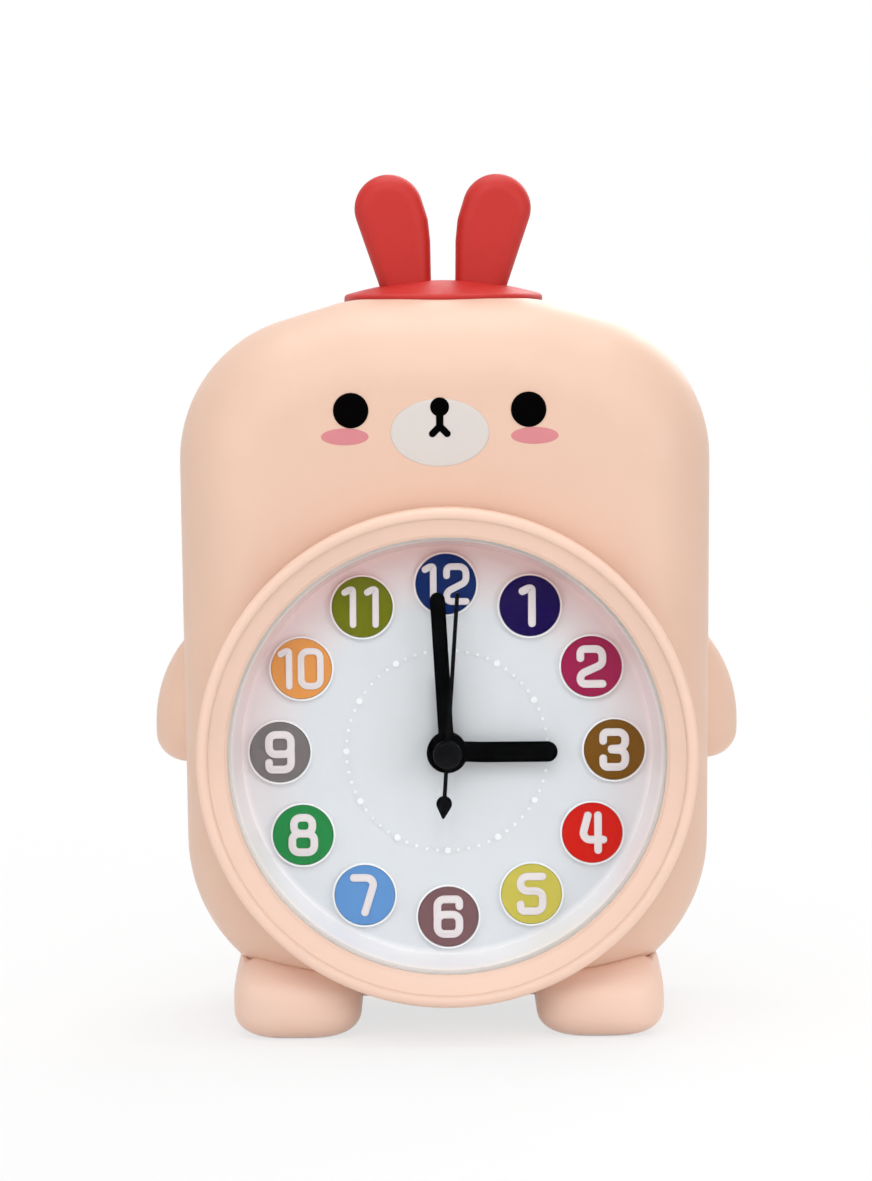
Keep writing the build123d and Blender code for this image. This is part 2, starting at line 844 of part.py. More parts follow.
# Lens: flat rim with a low dome
lens_radius = collar_bore - fit_gap
lens_rear = -lens_seat_gap
dome_span = bezel_window - bezel_lip
dome_radius = (dome_span**2 + lens_dome**2) / (2 * lens_dome)
dome_half_drop = dome_radius - math.sqrt(dome_radius**2 - (dome_span / 2) ** 2)
with BuildPart() as lens:
    with BuildSketch(Plane.XY.offset(dial_height)):
        with BuildLine():
            crown, front_half, front_edge, front_rim, rear_rim, rear_edge, rear_half, hollow = turned(
                [
                    (0, lens_front - lens_dome),
                    (dome_span / 2, lens_front - lens_dome + dome_half_drop),
                    (dome_span, lens_front),
                    (lens_radius, lens_front),
                    (lens_radius, lens_rear),
                    (dome_span, lens_rear),
                    (dome_span / 2, lens_rear - lens_dome + dome_half_drop),
                    (0, lens_rear - lens_dome),
                ]
            )
            ThreePointArc(crown, front_half, front_edge)
            Polyline(front_edge, front_rim, rear_rim, rear_edge)
            ThreePointArc(rear_edge, rear_half, hollow)
            Line(hollow, crown)
        make_face()
    revolve(axis=dial_axis)

# Dial: white dish with raised rims and pips, a flange under the lens and two bosses for the movement
boss_places = [(-dial_boss_reach, dial_height), (dial_boss_reach, dial_height)]
with BuildPart() as dial:
    with BuildSketch(Plane.XY.offset(dial_height)):
        with BuildLine():
            Polyline(
                *turned(
                    [
                        (dial_flange_inner, 0),
                        (dial_floor_radius, dial_floor_depth),
                        (alarm_tube_radius + fit_gap, dial_floor_depth),
                        (alarm_tube_radius + fit_gap, dial_rear),
                        (dial_floor_radius + dial_wall, dial_rear),
                        (dial_flange_inner + dial_wall, ledge_depth),
                        (lens_radius, ledge_depth),
                        (lens_radius, 0),
                    ]
                ),
                close=True,
            )
        make_face()
    revolve(axis=dial_axis)
    with BuildSketch(facing(dial_floor_depth)):
        with Locations(dial_place):
            with PolarLocations(number_ring_radius, number_count):
                Circle(number_rim_radius)
                Circle(number_disc_radius + fit_gap, mode=Mode.SUBTRACT)
    extrude(amount=number_rim_height)
    with BuildSketch(facing(dial_floor_depth)):
        with Locations(dial_place):
            with PolarLocations(pip_ring_radius, minute_count):
                Circle(pip_radius)
            with PolarLocations(pip_ring_radius, number_count):
                Circle(hour_pip_radius)
    extrude(amount=pip_height)
    with BuildSketch(facing(dial_rear)):
        with Locations(*boss_places):
            Circle(dial_boss_radius)
    extrude(amount=-dial_boss_length)
    with BuildSketch(facing(dial_rear + dial_boss_length)):
        with Locations(*boss_places):
            Circle(shank_hole)
    extrude(amount=movement_screw_length - movement_ear_thickness, mode=Mode.SUBTRACT)

# Twelve coloured discs that carry the numbers
with BuildPart() as number_discs:
    with BuildSketch(facing(dial_floor_depth)):
        with Locations(dial_place):
            with PolarLocations(number_ring_radius, number_count):
                Circle(number_disc_radius)
    extrude(amount=number_disc_height)

# Movement base: open box with the front plate, pivot holes, a post and two ears
movement_place = (0, dial_height + movement_lift)
ear_depth = dial_rear + dial_boss_length
minute_post = rod(minute_place, post_radius, dial_rear, layer_depth(minute_layer) + layer_step)
with BuildPart() as movement_base:
    with BuildSketch(facing(movement_rear)):
        with Locations(movement_place):
            RectangleRounded(movement_width, movement_height, movement_corner)
    extrude(amount=movement_rear - dial_rear)
    with BuildSketch(facing(movement_rear)):
        with Locations(movement_place):
            RectangleRounded(
                movement_width - 2 * movement_wall,
                movement_height - 2 * movement_wall,
                movement_corner - movement_wall,
            )
    extrude(amount=movement_rear - plate_rear, mode=Mode.SUBTRACT)
    with BuildSketch(facing(ear_depth + movement_ear_thickness)):
        with Locations(*boss_places):
            Circle(movement_ear_width / 2)
        for side in (-1, 1):
            ear_reach = dial_boss_reach - movement_width / 2 + movement_wall
            with Locations((side * (dial_boss_reach - ear_reach / 2), dial_height)):
                Rectangle(ear_reach, movement_ear_width)
        with Locations(*boss_places):
            Circle(clear_hole, mode=Mode.SUBTRACT)
    extrude(amount=movement_ear_thickness)
    add(minute_post)
    with BuildSketch(facing(plate_rear)):
        with Locations(dial_place):
            Circle(alarm_tube_radius + running_gap)
        with Locations(third_place, intermediate_place, rotor_place):
            Circle(pivot_radius + running_gap)
        with Locations(time_place, alarm_place):
            Circle(setting_pivot_radius + running_gap)
    extrude(amount=movement_wall, mode=Mode.SUBTRACT)

# Movement cover: the rear plate with its pivot holes
with BuildPart() as movement_cover:
    with BuildSketch(facing(cover_rear)):
        with Locations(movement_place):
            RectangleRounded(movement_width, movement_height, movement_corner)
        with Locations(dial_place, third_place, intermediate_place, rotor_place):
            Circle(pivot_radius + running_gap, mode=Mode.SUBTRACT)
        with Locations(time_place, alarm_place):
            Circle(setting_radius + running_gap, mode=Mode.SUBTRACT)
    extrude(amount=movement_wall)

# Motor: stator plate, coil on its core, and the magnet rotor
rotor_depth = layer_depth(rotor_layer)
stator_depth = rotor_depth + (magnet_length - stator_thickness) / 2
leg_reach = (stator_width - stator_leg_width) / 2
leg_rise = (stator_height + stator_leg_length) / 2
with BuildPart() as stator:
    with BuildSketch(facing(stator_depth + stator_thickness)):
        with Locations(rotor_place):
            Rectangle(stator_width, stator_height)
            with Locations((-leg_reach, leg_rise), (leg_reach, leg_rise)):
                Rectangle(stator_leg_width, stator_leg_length)
            Circle(magnet_radius + magnet_gap, mode=Mode.SUBTRACT)
    extrude(amount=stator_thickness)

coil_height = rotor_place[1] + stator_height / 2 + stator_leg_length - stator_leg_width / 2
coil_origin = (rotor_place[0], stator_depth - stator_thickness / 2 - middle_depth, coil_height)
with BuildPart() as coil:
    with BuildSketch(Plane(origin=coil_origin, x_dir=(0, 1, 0), z_dir=(1, 0, 0))):
        Circle(coil_radius)
    extrude(amount=coil_length / 2, both=True)
    with BuildSketch(Plane(origin=coil_origin, x_dir=(0, 1, 0), z_dir=(1, 0, 0))):
        Rectangle(stator_thickness, stator_leg_width)
    extrude(amount=stator_width / 2, both=True)

pivot_front = plate_rear - pivot_length
pivot_rear = movement_rear + pivot_length
rotor_pinion = gear(
    intermediate_layer, rotor_place, rotor_pinion_teeth, rotor_module, rotor_phase, pivot_radius
)
rotor_pivots = rod(rotor_place, pivot_radius, pivot_front, pivot_rear)
rotor_magnet = rod(rotor_place, magnet_radius, rotor_depth, rotor_depth + magnet_length)
with BuildPart() as rotor:
    add(rotor_pinion)
    add(rotor_pivots)
    add(rotor_magnet)

# Going train, from the rotor to the centre wheel
intermediate_pinion = gear(
    second_layer,
    intermediate_place,
    intermediate_pinion_teeth,
    second_module,
    intermediate_phase,
    pivot_radius,
)
intermediate_gear = gear(
    intermediate_layer, intermediate_place, intermediate_teeth, rotor_module, 0, pivot_radius
)
intermediate_pivots = rod(intermediate_place, pivot_radius, pivot_front, pivot_rear)
intermediate_arbor = rod(
    intermediate_place,
    arbor_radius,
    layer_depth(second_layer),
    layer_depth(intermediate_layer) + wheel_thickness,
)
with BuildPart() as intermediate_wheel:
    add(intermediate_pinion)
    add(intermediate_gear)
    add(intermediate_pivots)
    add(intermediate_arbor)

second_pinion = gear(
    third_layer, dial_place, second_pinion_teeth, third_module, second_phase, pivot_radius
)
second_gear = gear(second_layer, dial_place, second_teeth, second_module, 0, pivot_radius)
second_arbor_rear = movement_rear - layer_gap
second_arbor = rod(dial_place, second_arbor_radius, second_hand_depth, second_arbor_rear)
second_pivot = rod(dial_place, pivot_radius, second_arbor_rear, pivot_rear)
with BuildPart() as second_wheel:
    add(second_pinion)
    add(second_gear)
    add(second_arbor)
    add(second_pivot)

third_pinion = gear(centre_layer, third_place, third_pinion_teeth, centre_module, 0, pivot_radius)
third_gear = gear(third_layer, third_place, third_teeth, third_module, 0, pivot_radius)
third_pivots = rod(third_place, pivot_radius, pivot_front, pivot_rear)
third_arbor = rod(
    third_place, arbor_radius, layer_depth(centre_layer), layer_depth(third_layer) + wheel_thickness
)
with BuildPart() as third_wheel:
    add(third_pinion)
    add(third_gear)
    add(third_pivots)
    add(third_arbor)

centre_gear = gear(
    centre_layer, dial_place, centre_teeth, centre_module, centre_phase, cannon_radius + running_gap
)
with BuildPart() as centre_wheel:
    add(centre_gear)

# Motion work: cannon pinion, minute wheel, hour wheel and their tubes
cannon_bore = second_arbor_radius + running_gap
cannon_gear = gear(minute_layer, dial_place, cannon_teeth, motion_module, 0, cannon_radius)
cannon_rear = layer_depth(centre_layer) + wheel_thickness + tube_overlap
cannon_tube = rod(dial_place, cannon_radius, minute_hand_depth, cannon_rear, cannon_bore)
with BuildPart() as cannon_pinion:
    add(cannon_gear)
    add(cannon_tube)

clutch_rear = layer_depth(minute_layer) + wheel_thickness + clutch_thickness
with BuildPart() as clutch_washer:
    with BuildSketch(facing(clutch_rear)):
        with Locations(dial_place):
            Circle(clutch_radius)
            Circle(cannon_radius, mode=Mode.SUBTRACT)
    extrude(amount=clutch_thickness)

post_bore = post_radius + running_gap
minute_gear = gear(
    minute_layer, minute_place, minute_wheel_teeth, motion_module, minute_phase, post_bore
)
minute_pinion = gear(hour_layer, minute_place, minute_pinion_teeth, hour_module, 0, post_bore)
minute_sleeve_radius = (minute_pinion_teeth / 2 - tooth_root_share) * hour_module
minute_sleeve = rod(
    minute_place,
    minute_sleeve_radius,
    layer_depth(hour_layer),
    layer_depth(minute_layer),
    post_bore,
)
with BuildPart() as minute_wheel:
    add(minute_gear)
    add(minute_pinion)
    add(minute_sleeve)

hour_gear = gear(hour_layer, dial_place, hour_teeth, hour_module, hour_phase, hour_tube_radius)
hour_rear = layer_depth(hour_layer) + wheel_thickness + tube_overlap
hour_bore = cannon_radius + running_gap
hour_tube = rod(dial_place, hour_tube_radius, hour_hand_depth, hour_rear, hour_bore)
with BuildPart() as hour_wheel:
    add(hour_gear)
    add(hour_tube)

alarm_gear = gear(alarm_layer, dial_place, alarm_wheel_teeth, alarm_module, 0, alarm_tube_radius)
alarm_rear = layer_depth(alarm_layer) + wheel_thickness + tube_overlap
alarm_bore = hour_tube_radius + running_gap
alarm_tube = rod(dial_place, alarm_tube_radius, alarm_hand_depth, alarm_rear, alarm_bore)
with BuildPart() as alarm_wheel:
    add(alarm_gear)
    add(alarm_tube)

# Hands
alarm_bar = bar_hand(
    alarm_hand_depth,
    alarm_hand_length,
    alarm_hand_width,
    alarm_hub_radius,
    alarm_tube_radius,
    alarm_hand_angle,
)
with BuildPart() as alarm_hand:
    add(alarm_bar)

hour_bar = bar_hand(
    hour_hand_depth,
    hour_hand_length,
    hour_hand_width,
    hour_hub_radius,
    hour_tube_radius,
    hour_hand_angle,
)
with BuildPart() as hour_hand:
    add(hour_bar)

minute_bar = bar_hand(
    minute_hand_depth,
    minute_hand_length,
    minute_hand_width,
    minute_hub_radius,
    cannon_radius,
    minute_hand_angle,
)
with BuildPart() as minute_hand:
    add(minute_bar)

second_bar_length = second_hand_length + second_tail_reach
second_turn = Location((0, dial_height, 0), (0, 0, second_hand_angle))
with BuildPart() as second_hand:
    with BuildSketch(facing(second_hand_depth)):
        with Locations(dial_place):
            Circle(second_cap_radius)
    extrude(amount=second_cap_height)
    fillet(second_hand.faces().sort_by(Axis.Y)[0].edges(), second_cap_round)
    with BuildSketch(facing(second_hand_depth)):
        with Locations(second_turn):
            with Locations((-second_tail_reach, 0)):
                Rectangle(second_bar_length, second_hand_width, align=(Align.MIN, Align.CENTER))
    extrude(amount=hand_thickness)
    with BuildSketch(facing(second_hand_depth)):
        with Locations(second_turn):
            with Locations((-second_tail_reach, 0)):
                Circle(second_tail_width / 2)
            with Locations((second_tip_radius - second_tail_length, 0)):
                Circle(second_tip_radius)
        make_hull()
    extrude(amount=hand_thickness)

# Setting arbors and their knobs behind the case
knob_front = case_depth + knob_gap
knob_rear = case_depth + knob_proud
socket_front = knob_rear - knob_edge - knob_socket_depth


def setting_arbor(place, layer, teeth, module, phase):
    """An arbor from the movement's front plate to the knob, with its pinion."""
    pinion = gear(layer, place, teeth, module, phase, setting_pivot_radius)
    pivot = rod(place, setting_pivot_radius, plate_rear - pivot_length, layer_depth(layer + 1))
    pinion_rear = layer_depth(layer) + wheel_thickness
    shaft = rod(place, setting_radius, pinion_rear, socket_front + knob_socket_depth)
    with BuildPart() as arbor:
        add(pinion)
        add(pivot)
        add(shaft)
    return arbor.part


def setting_knob(place):
    """A fluted knob with a socket for its arbor."""
    with BuildPart() as knob:
        with BuildSketch(facing(knob_rear)):
            with Locations(place):
                Circle(knob_radius)
                with PolarLocations(knob_radius, knob_flutes):
                    Circle(knob_flute_radius, mode=Mode.SUBTRACT)
        extrude(amount=knob_rear - knob_front)
        chamfer(knob.faces().sort_by(Axis.Y)[-1].edges(), knob_edge / 2)
        with BuildSketch(facing(socket_front + knob_socket_depth)):
            with Locations(place):
                Circle(setting_radius)
        extrude(amount=case_depth, mode=Mode.SUBTRACT)
    return knob.part


time_shaft = setting_arbor(time_place, minute_layer, time_pinion_teeth, motion_module, time_phase)
with BuildPart() as time_arbor:
    add(time_shaft)

alarm_shaft = setting_arbor(alarm_place, alarm_layer, alarm_pinion_teeth, alarm_module, alarm_phase)
with BuildPart() as alarm_arbor:
    add(alarm_shaft)

time_grip = setting_knob(time_place)
with BuildPart() as time_knob:
    add(time_grip)

alarm_grip = setting_knob(alarm_place)
with BuildPart() as alarm_knob:
    add(alarm_grip)

# Press button: low domed disc with two rounded ears and a guided stem
button_dome_radius = (button_radius**2 + button_dome**2) / (2 * button_dome)
button_half_drop = button_dome_radius - math.sqrt(button_dome_radius**2 - (button_radius / 2) ** 2)
button_top = button_rim_height + button_dome
ear_crown_height = ear_height - ear_crown_radius
ear_root_height = button_rim_height - button_thickness / 2
clip_groove = stem_radius - clip_neck


def ear(side):
    """One upright rounded ear, rooted in the button's disc."""
    with BuildPart() as form:
        with BuildSketch(facing(button_depth + ear_thickness / 2)):
            with Locations((side * ear_crown_reach, ear_crown_height)):
                Circle(ear_crown_radius)
            with Locations(
                (side * (ear_waist_inner + ear_side_radius), ear_waist_height),
                (side * (ear_bulge_inner + ear_side_radius), ear_bulge_height),
            ):
                Circle(ear_side_radius)
            with Locations(
                (side * (ear_foot_inner + ear_foot_radius), ear_root_height),
                (side * (ear_foot_outer - ear_foot_radius), ear_root_height),
            ):
                Circle(ear_foot_radius)
            make_hull()
        extrude(amount=ear_thickness)
        rounded = form.edges().filter_by(Plane.XZ).group_by(Axis.Z)
        fillet([edge for group in rounded[1:] for edge in group], ear_edge_round)
    return form.part


left_ear = ear(-1)
right_ear = ear(1)
with BuildPart() as snooze_button:
    with BuildSketch(facing(button_depth)) as button_profile:
        with BuildLine():
            ThreePointArc(
                (0, button_top),
                (button_radius / 2, button_top - button_half_drop),
                (button_radius, button_rim_height),
            )
            Polyline(
                (button_radius, button_rim_height),
                (button_radius, button_bottom),
                (stem_radius, button_bottom),
                (stem_radius, clip_top),
                (clip_groove, clip_top),
                (clip_groove, clip_top - clip_thickness),
                (stem_radius, clip_top - clip_thickness),
                (stem_radius, stem_bottom),
                (0, stem_bottom),
                (0, button_top),
            )
        make_face()
        fillet(button_profile.vertices().group_by(Axis.X)[-1].sort_by(Axis.Y)[-1], button_rim_round)
    revolve(axis=Axis(button_level(0).origin, (0, 0, 1)))
    add(left_ear)
    add(right_ear)

# Coil spring under the button and the clip that keeps the button in its guide
spring_foot = well_floor + spring_seat_gap + spring_wire / 2
spring_rise = button_bottom - well_floor - 2 * spring_seat_gap - spring_wire
spring_centre = (0, button_depth - middle_depth, spring_foot)
with BuildPart() as button_spring:
    with BuildLine() as spring_path:
        Helix(spring_rise / spring_turns, spring_rise, spring_radius, center=spring_centre)
    with BuildSketch(Plane(origin=spring_path.line @ 0, z_dir=spring_path.line % 0)):
        Circle(spring_wire / 2)
    sweep(is_frenet=True)

with BuildPart() as button_clip:
    with BuildSketch(button_level(clip_top)):
        Circle(clip_radius)
        Circle(clip_groove, mode=Mode.SUBTRACT)
        with Locations((0, clip_radius)):
            Rectangle(clip_opening, 2 * clip_radius, mode=Mode.SUBTRACT)
    extrude(amount=-clip_thickness)

# Arms
arm_side = arm_axis_reach + arm_radius
arm_shoulder = arm_belly + math.sqrt(arm_side_radius**2 - (arm_side_radius - arm_radius) ** 2)
arm_half_turn = math.asin((arm_shoulder - arm_belly) / arm_side_radius) / 2
arm_side_centre = arm_side - arm_side_radius
arm_mid = (
    arm_side_centre + arm_side_radius * math.cos(arm_half_turn),
    arm_belly + arm_side_radius * math.sin(arm_half_turn),
)
arm_axis = Axis((arm_axis_reach, button_depth - middle_depth, 0), (0, 0, 1))
peg_inner = shoulder_width / 2 - wall - arm_peg_stub
peg_plane = Plane(origin=arm_peg_origin, x_dir=(0, 1, 0), z_dir=(1, 0, 0))
with BuildPart() as right_arm:
    with BuildSketch(facing(button_depth)) as arm_profile:
        with BuildLine():
            ThreePointArc((arm_side, arm_belly), arm_mid, (arm_axis_reach, arm_shoulder))
            Polyline(
                (arm_axis_reach, arm_shoulder),
                (arm_axis_reach, arm_bottom),
                (arm_side, arm_bottom),
                (arm_side, arm_belly),
            )
        make_face()
        lower_corner = arm_profile.vertices().group_by(Axis.Y)[0].sort_by(Axis.X)[-1]
        fillet(lower_corner, arm_corner_radius)
    revolve(axis=arm_axis)
    add(seat_form, mode=Mode.SUBTRACT)
    with BuildSketch(peg_plane.offset(peg_inner)):
        Circle(arm_peg_radius)
    extrude(amount=arm_peg_stub + wall + arm_peg_root)

with BuildPart() as left_arm:
    mirror(right_arm.part, about=Plane.YZ)

# Feet: rounded blocks cut to the case's underside
foot_outer = foot_reach + foot_width / 2
foot_inner = foot_reach - foot_width / 2
foot_top_reach = foot_top_width / 2 - foot_top_radius
foot_screw_end = foot_pad_top - foot_screw_length
with BuildPart() as right_foot:
    with BuildSketch(facing(foot_rear)):
        with Locations((foot_outer - foot_outer_radius, foot_outer_radius)):
            Circle(foot_outer_radius)
        with Locations((foot_inner + foot_inner_radius, foot_inner_radius)):
            Circle(foot_inner_radius)
        with Locations(
            (foot_reach - foot_top_reach, foot_top_height),
            (foot_reach + foot_top_reach, foot_top_height),
        ):
            Circle(foot_top_radius)
        make_hull()
    extrude(amount=foot_rear - foot_front)
    fillet(right_foot.faces().sort_by(Axis.Y)[0].edges(), foot_edge_radius)
    fillet(right_foot.faces().sort_by(Axis.Y)[-1].edges(), foot_edge_radius)
    add(seat_form, mode=Mode.SUBTRACT)
    add(collar_seat, mode=Mode.SUBTRACT)
    with BuildSketch(Plane.XY.offset(foot_screw_end)):
        with Locations(*[place for place in foot_screw_places if place[0] > 0]):
            Circle(shank_hole)
    extrude(amount=foot_screw_length, mode=Mode.SUBTRACT)

with BuildPart() as left_foot:
    mirror(right_foot.part, about=Plane.YZ)

# Screw groups
case_screw_set = screws(case_boss_places, facing(screw_seat_depth), case_screw_length)
with BuildPart() as case_screws:
    add(case_screw_set)

foot_seat = Plane(origin=(0, 0, foot_pad_top), x_dir=(1, 0, 0), z_dir=(0, 0, -1))
foot_seat_places = [(x, -y) for x, y in foot_screw_places]
foot_screw_set = screws(foot_seat_places, foot_seat, foot_screw_length)
with BuildPart() as foot_screws:
    add(foot_screw_set)

movement_seat = facing(ear_depth + movement_ear_thickness)
movement_screw_set = screws(boss_places, movement_seat, movement_screw_length)
with BuildPart() as movement_screws:
    add(movement_screw_set)

board_seat = Plane(origin=(0, board_front - middle_depth, 0), x_dir=(-1, 0, 0), z_dir=(0, 1, 0))
board_screw_set = screws(board_post_places, board_seat, board_screw_length)
with BuildPart() as board_screws:
    add(board_screw_set)

# Circuit board and what is soldered to it
with BuildPart() as circuit_board:
    with BuildSketch(facing(board_rear)):
        with Locations((0, (board_bottom + board_top) / 2)):
            Rectangle(board_width, board_top - board_bottom)
        with Locations(*board_post_places):
            Circle(clear_hole, mode=Mode.SUBTRACT)
    extrude(amount=board_thickness)

switch_body_top = switch_body_bottom + switch_body_height
with BuildPart() as button_switch:
    with BuildSketch(facing(board_front)):
        with Locations((0, switch_body_bottom + switch_body_height / 2)):
            Rectangle(switch_body_width, switch_body_height)
    extrude(amount=board_front - switch_body_front)
    with BuildSketch(Plane(origin=(0, plunger_depth - middle_depth, switch_body_top))):
        Circle(plunger_radius)
    extrude(amount=plunger_height)

with BuildPart() as chip:
    with BuildSketch(facing(board_front)):
        with Locations((-chip_reach, chip_height)):
            Rectangle(chip_width, chip_length)
    extrude(amount=chip_thickness)

crystal_depth = board_front - crystal_radius - seat_gap
crystal_origin = (-crystal_reach, crystal_depth - middle_depth, crystal_height)
with BuildPart() as quartz_crystal:
    with BuildSketch(Plane(origin=crystal_origin, x_dir=(0, 1, 0), z_dir=(1, 0, 0))):
        Circle(crystal_radius)
    extrude(amount=crystal_length / 2, both=True)

with BuildPart() as lamp:
    with BuildSketch(facing(board_front)):
        with Locations((lamp_reach, lamp_height)):
            Circle(lamp_radius)
    extrude(amount=lamp_length)
    fillet(lamp.faces().sort_by(Axis.Y)[0].edges(), lamp_radius - seat_gap)

with BuildPart() as buzzer:
    with BuildSketch(facing(board_rear)):
        with Locations((0, sound_height)):
            Circle(buzzer_radius)
    extrude(amount=-buzzer_length)
    with BuildSketch(facing(board_rear + buzzer_length)):
        with Locations((0, sound_height)):
            Circle(buzzer_port_radius)
    extrude(amount=buzzer_port_depth, mode=Mode.SUBTRACT)

# Battery with its two contacts
plate_reach = box_half_length - contact_thickness
cell_start = battery_spring_length - plate_reach
battery_y = battery_depth - middle_depth


def along_battery(reach):
    """A sketch plane square to the battery, at a reach to the right of the middle."""
    return Plane(origin=(reach, battery_y, battery_height), x_dir=(0, 1, 0), z_dir=(1, 0, 0))


with BuildPart() as battery:
    with BuildSketch(along_battery(cell_start)):
        Circle(battery_radius)
    extrude(amount=battery_length)
    with BuildSketch(along_battery(cell_start + battery_length)):
        Circle(battery_nub_radius)
    extrude(amount=battery_nub_length)

with BuildPart() as battery_plate:
    with BuildSketch(along_battery(plate_reach)):
        Rectangle(contact_width, contact_width)
    extrude(amount=contact_thickness)

coil_rise = battery_spring_length - battery_spring_wire
coil_taper = math.degrees(math.atan((battery_spring_tip_radius - battery_spring_radius) / coil_rise))
with BuildPart() as battery_spring:
    with BuildSketch(along_battery(-box_half_length)):
        Rectangle(contact_width, contact_width)
    extrude(amount=contact_thickness)
    with BuildLine() as coil_path:
        Helix(
            coil_rise / battery_spring_turns,
            coil_rise,
            battery_spring_radius,
            center=(battery_spring_wire / 4 - plate_reach, battery_y, battery_height),
            direction=(1, 0, 0),
            cone_angle=coil_taper,
        )
    with BuildSketch(Plane(origin=coil_path.line @ 0, z_dir=coil_path.line % 0)):
        Circle(battery_spring_wire / 2)
    sweep(is_frenet=True)

# Battery door: a lid that turns on two pins at its lower edge
door_plane = Plane(origin=hinge_origin, x_dir=(0, 1, 0), z_dir=(1, 0, 0))
with BuildPart() as battery_door:
    with BuildSketch(door_plane):
        Circle(door_thickness / 2)
        Rectangle(
            door_thickness, 2 * door_half_height - door_thickness / 2, align=(Align.CENTER, Align.MIN)
        )
    extrude(amount=door_half_width, both=True)
    with BuildSketch(door_plane):
        Circle(door_pin_radius)
    extrude(amount=door_half_width + door_pin_length, both=True)
    with BuildSketch(facing(case_depth)):
        for grip in range(door_grip_count):
            drop = door_grip_step * (grip + 1)
            with Locations((0, battery_height + door_half_height - drop)):
                Rectangle(2 * door_notch_radius, door_grip_width)
    extrude(amount=-door_grip_height)

# Alarm slide switch, standing at off
switch_offset = -switch_travel / 2
slide_rear = cover_inside - switch_slide_gap
slide_front = slide_rear - switch_plate_thickness
with BuildPart() as alarm_switch:
    with BuildSketch(facing(slide_rear)):
        with Locations((switch_offset, switch_height)):
            Rectangle(switch_plate_width, switch_plate_height)
    extrude(amount=switch_plate_thickness)
    with BuildSketch(facing(case_depth + switch_nub_proud)):
        with Locations((switch_offset, switch_height)):
            Rectangle(switch_nub_width, switch_nub_height)
    extrude(amount=case_depth + switch_nub_proud - slide_rear)

pocket_width = switch_plate_width + switch_travel + 2 * switch_slide_gap
pocket_height = switch_plate_height + 2 * switch_slide_gap
with BuildPart() as switch_box:
    with BuildSketch(facing(cover_inside)):
        with Locations((0, switch_height)):
            Rectangle(pocket_width + 2 * switch_box_wall, pocket_height + 2 * switch_box_wall)
    extrude(amount=cover_inside - slide_front + switch_slide_gap + switch_box_wall)
    with BuildSketch(facing(cover_inside)):
        with Locations((0, switch_height)):
            Rectangle(pocket_width, pocket_height)
    extrude(amount=cover_inside - slide_front + switch_slide_gap, mode=Mode.SUBTRACT)

pieces = {
    "front_case": front_case,
    "rear_cover": rear_cover,
    "bezel_ring": bezel_ring,
    "lens": lens,
    "dial": dial,
    "number_discs": number_discs,
    "left_arm": left_arm,
    "right_arm": right_arm,
    "left_foot": left_foot,
    "right_foot": right_foot,
    "case_screws": case_screws,
    "foot_screws": foot_screws,
    "movement_screws": movement_screws,
    "board_screws": board_screws,
    "movement_base": movement_base,
    "movement_cover": movement_cover,
    "stator": stator,
    "coil": coil,
    "rotor": rotor,
    "intermediate_wheel": intermediate_wheel,
    "second_wheel": second_wheel,
    "third_wheel": third_wheel,
    "centre_wheel": centre_wheel,
    "cannon_pinion": cannon_pinion,
    "clutch_washer": clutch_washer,
    "minute_wheel": minute_wheel,
    "hour_wheel": hour_wheel,
    "alarm_wheel": alarm_wheel,
    "alarm_hand": alarm_hand,
    "hour_hand": hour_hand,
    "minute_hand": minute_hand,
    "second_hand": second_hand,
    "time_arbor": time_arbor,
    "alarm_arbor": alarm_arbor,
    "time_knob": time_knob,
    "alarm_knob": alarm_knob,
    "snooze_button": snooze_button,
    "button_spring": button_spring,
    "button_clip": button_clip,
    "button_switch": button_switch,
    "circuit_board": circuit_board,
    "chip": chip,
    "quartz_crystal": quartz_crystal,
    "lamp": lamp,
    "buzzer": buzzer,
    "battery": battery,
    "battery_plate": battery_plate,
    "battery_spring": battery_spring,
    "battery_door": battery_door,
    "alarm_switch": alarm_switch,
    "switch_box": switch_box,
}
for name, piece in pieces.items():
    piece.part.label = name
    export_step(piece.part, f"parts/{name}.step")
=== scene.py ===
"""Looks of the kids analog alarm clock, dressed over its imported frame.

Sizes are in millimetres until they are placed.
"""

import math

import bmesh
import bpy
from mathutils import Matrix, Vector


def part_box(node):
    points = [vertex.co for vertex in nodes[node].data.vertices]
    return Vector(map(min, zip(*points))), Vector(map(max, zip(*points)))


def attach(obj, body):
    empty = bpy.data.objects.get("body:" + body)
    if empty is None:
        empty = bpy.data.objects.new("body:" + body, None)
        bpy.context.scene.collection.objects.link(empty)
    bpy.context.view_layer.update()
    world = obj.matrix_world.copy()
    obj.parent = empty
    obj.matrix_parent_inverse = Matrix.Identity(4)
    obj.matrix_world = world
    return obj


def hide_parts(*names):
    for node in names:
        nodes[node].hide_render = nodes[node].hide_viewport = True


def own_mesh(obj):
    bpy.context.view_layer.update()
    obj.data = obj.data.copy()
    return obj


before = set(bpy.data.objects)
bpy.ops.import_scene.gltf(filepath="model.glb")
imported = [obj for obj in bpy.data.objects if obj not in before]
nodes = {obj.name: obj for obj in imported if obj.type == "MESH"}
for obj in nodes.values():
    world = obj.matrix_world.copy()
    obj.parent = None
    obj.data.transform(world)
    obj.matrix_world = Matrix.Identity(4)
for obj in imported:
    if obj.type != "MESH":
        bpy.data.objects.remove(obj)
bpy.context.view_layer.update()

MM = 0.001
DIAL_HEIGHT = 53.3
NUMBER_RING = 31.1
FLOOR_RADIUS = 38.3
FLANGE_RADIUS = 39.8


# Tools for materials


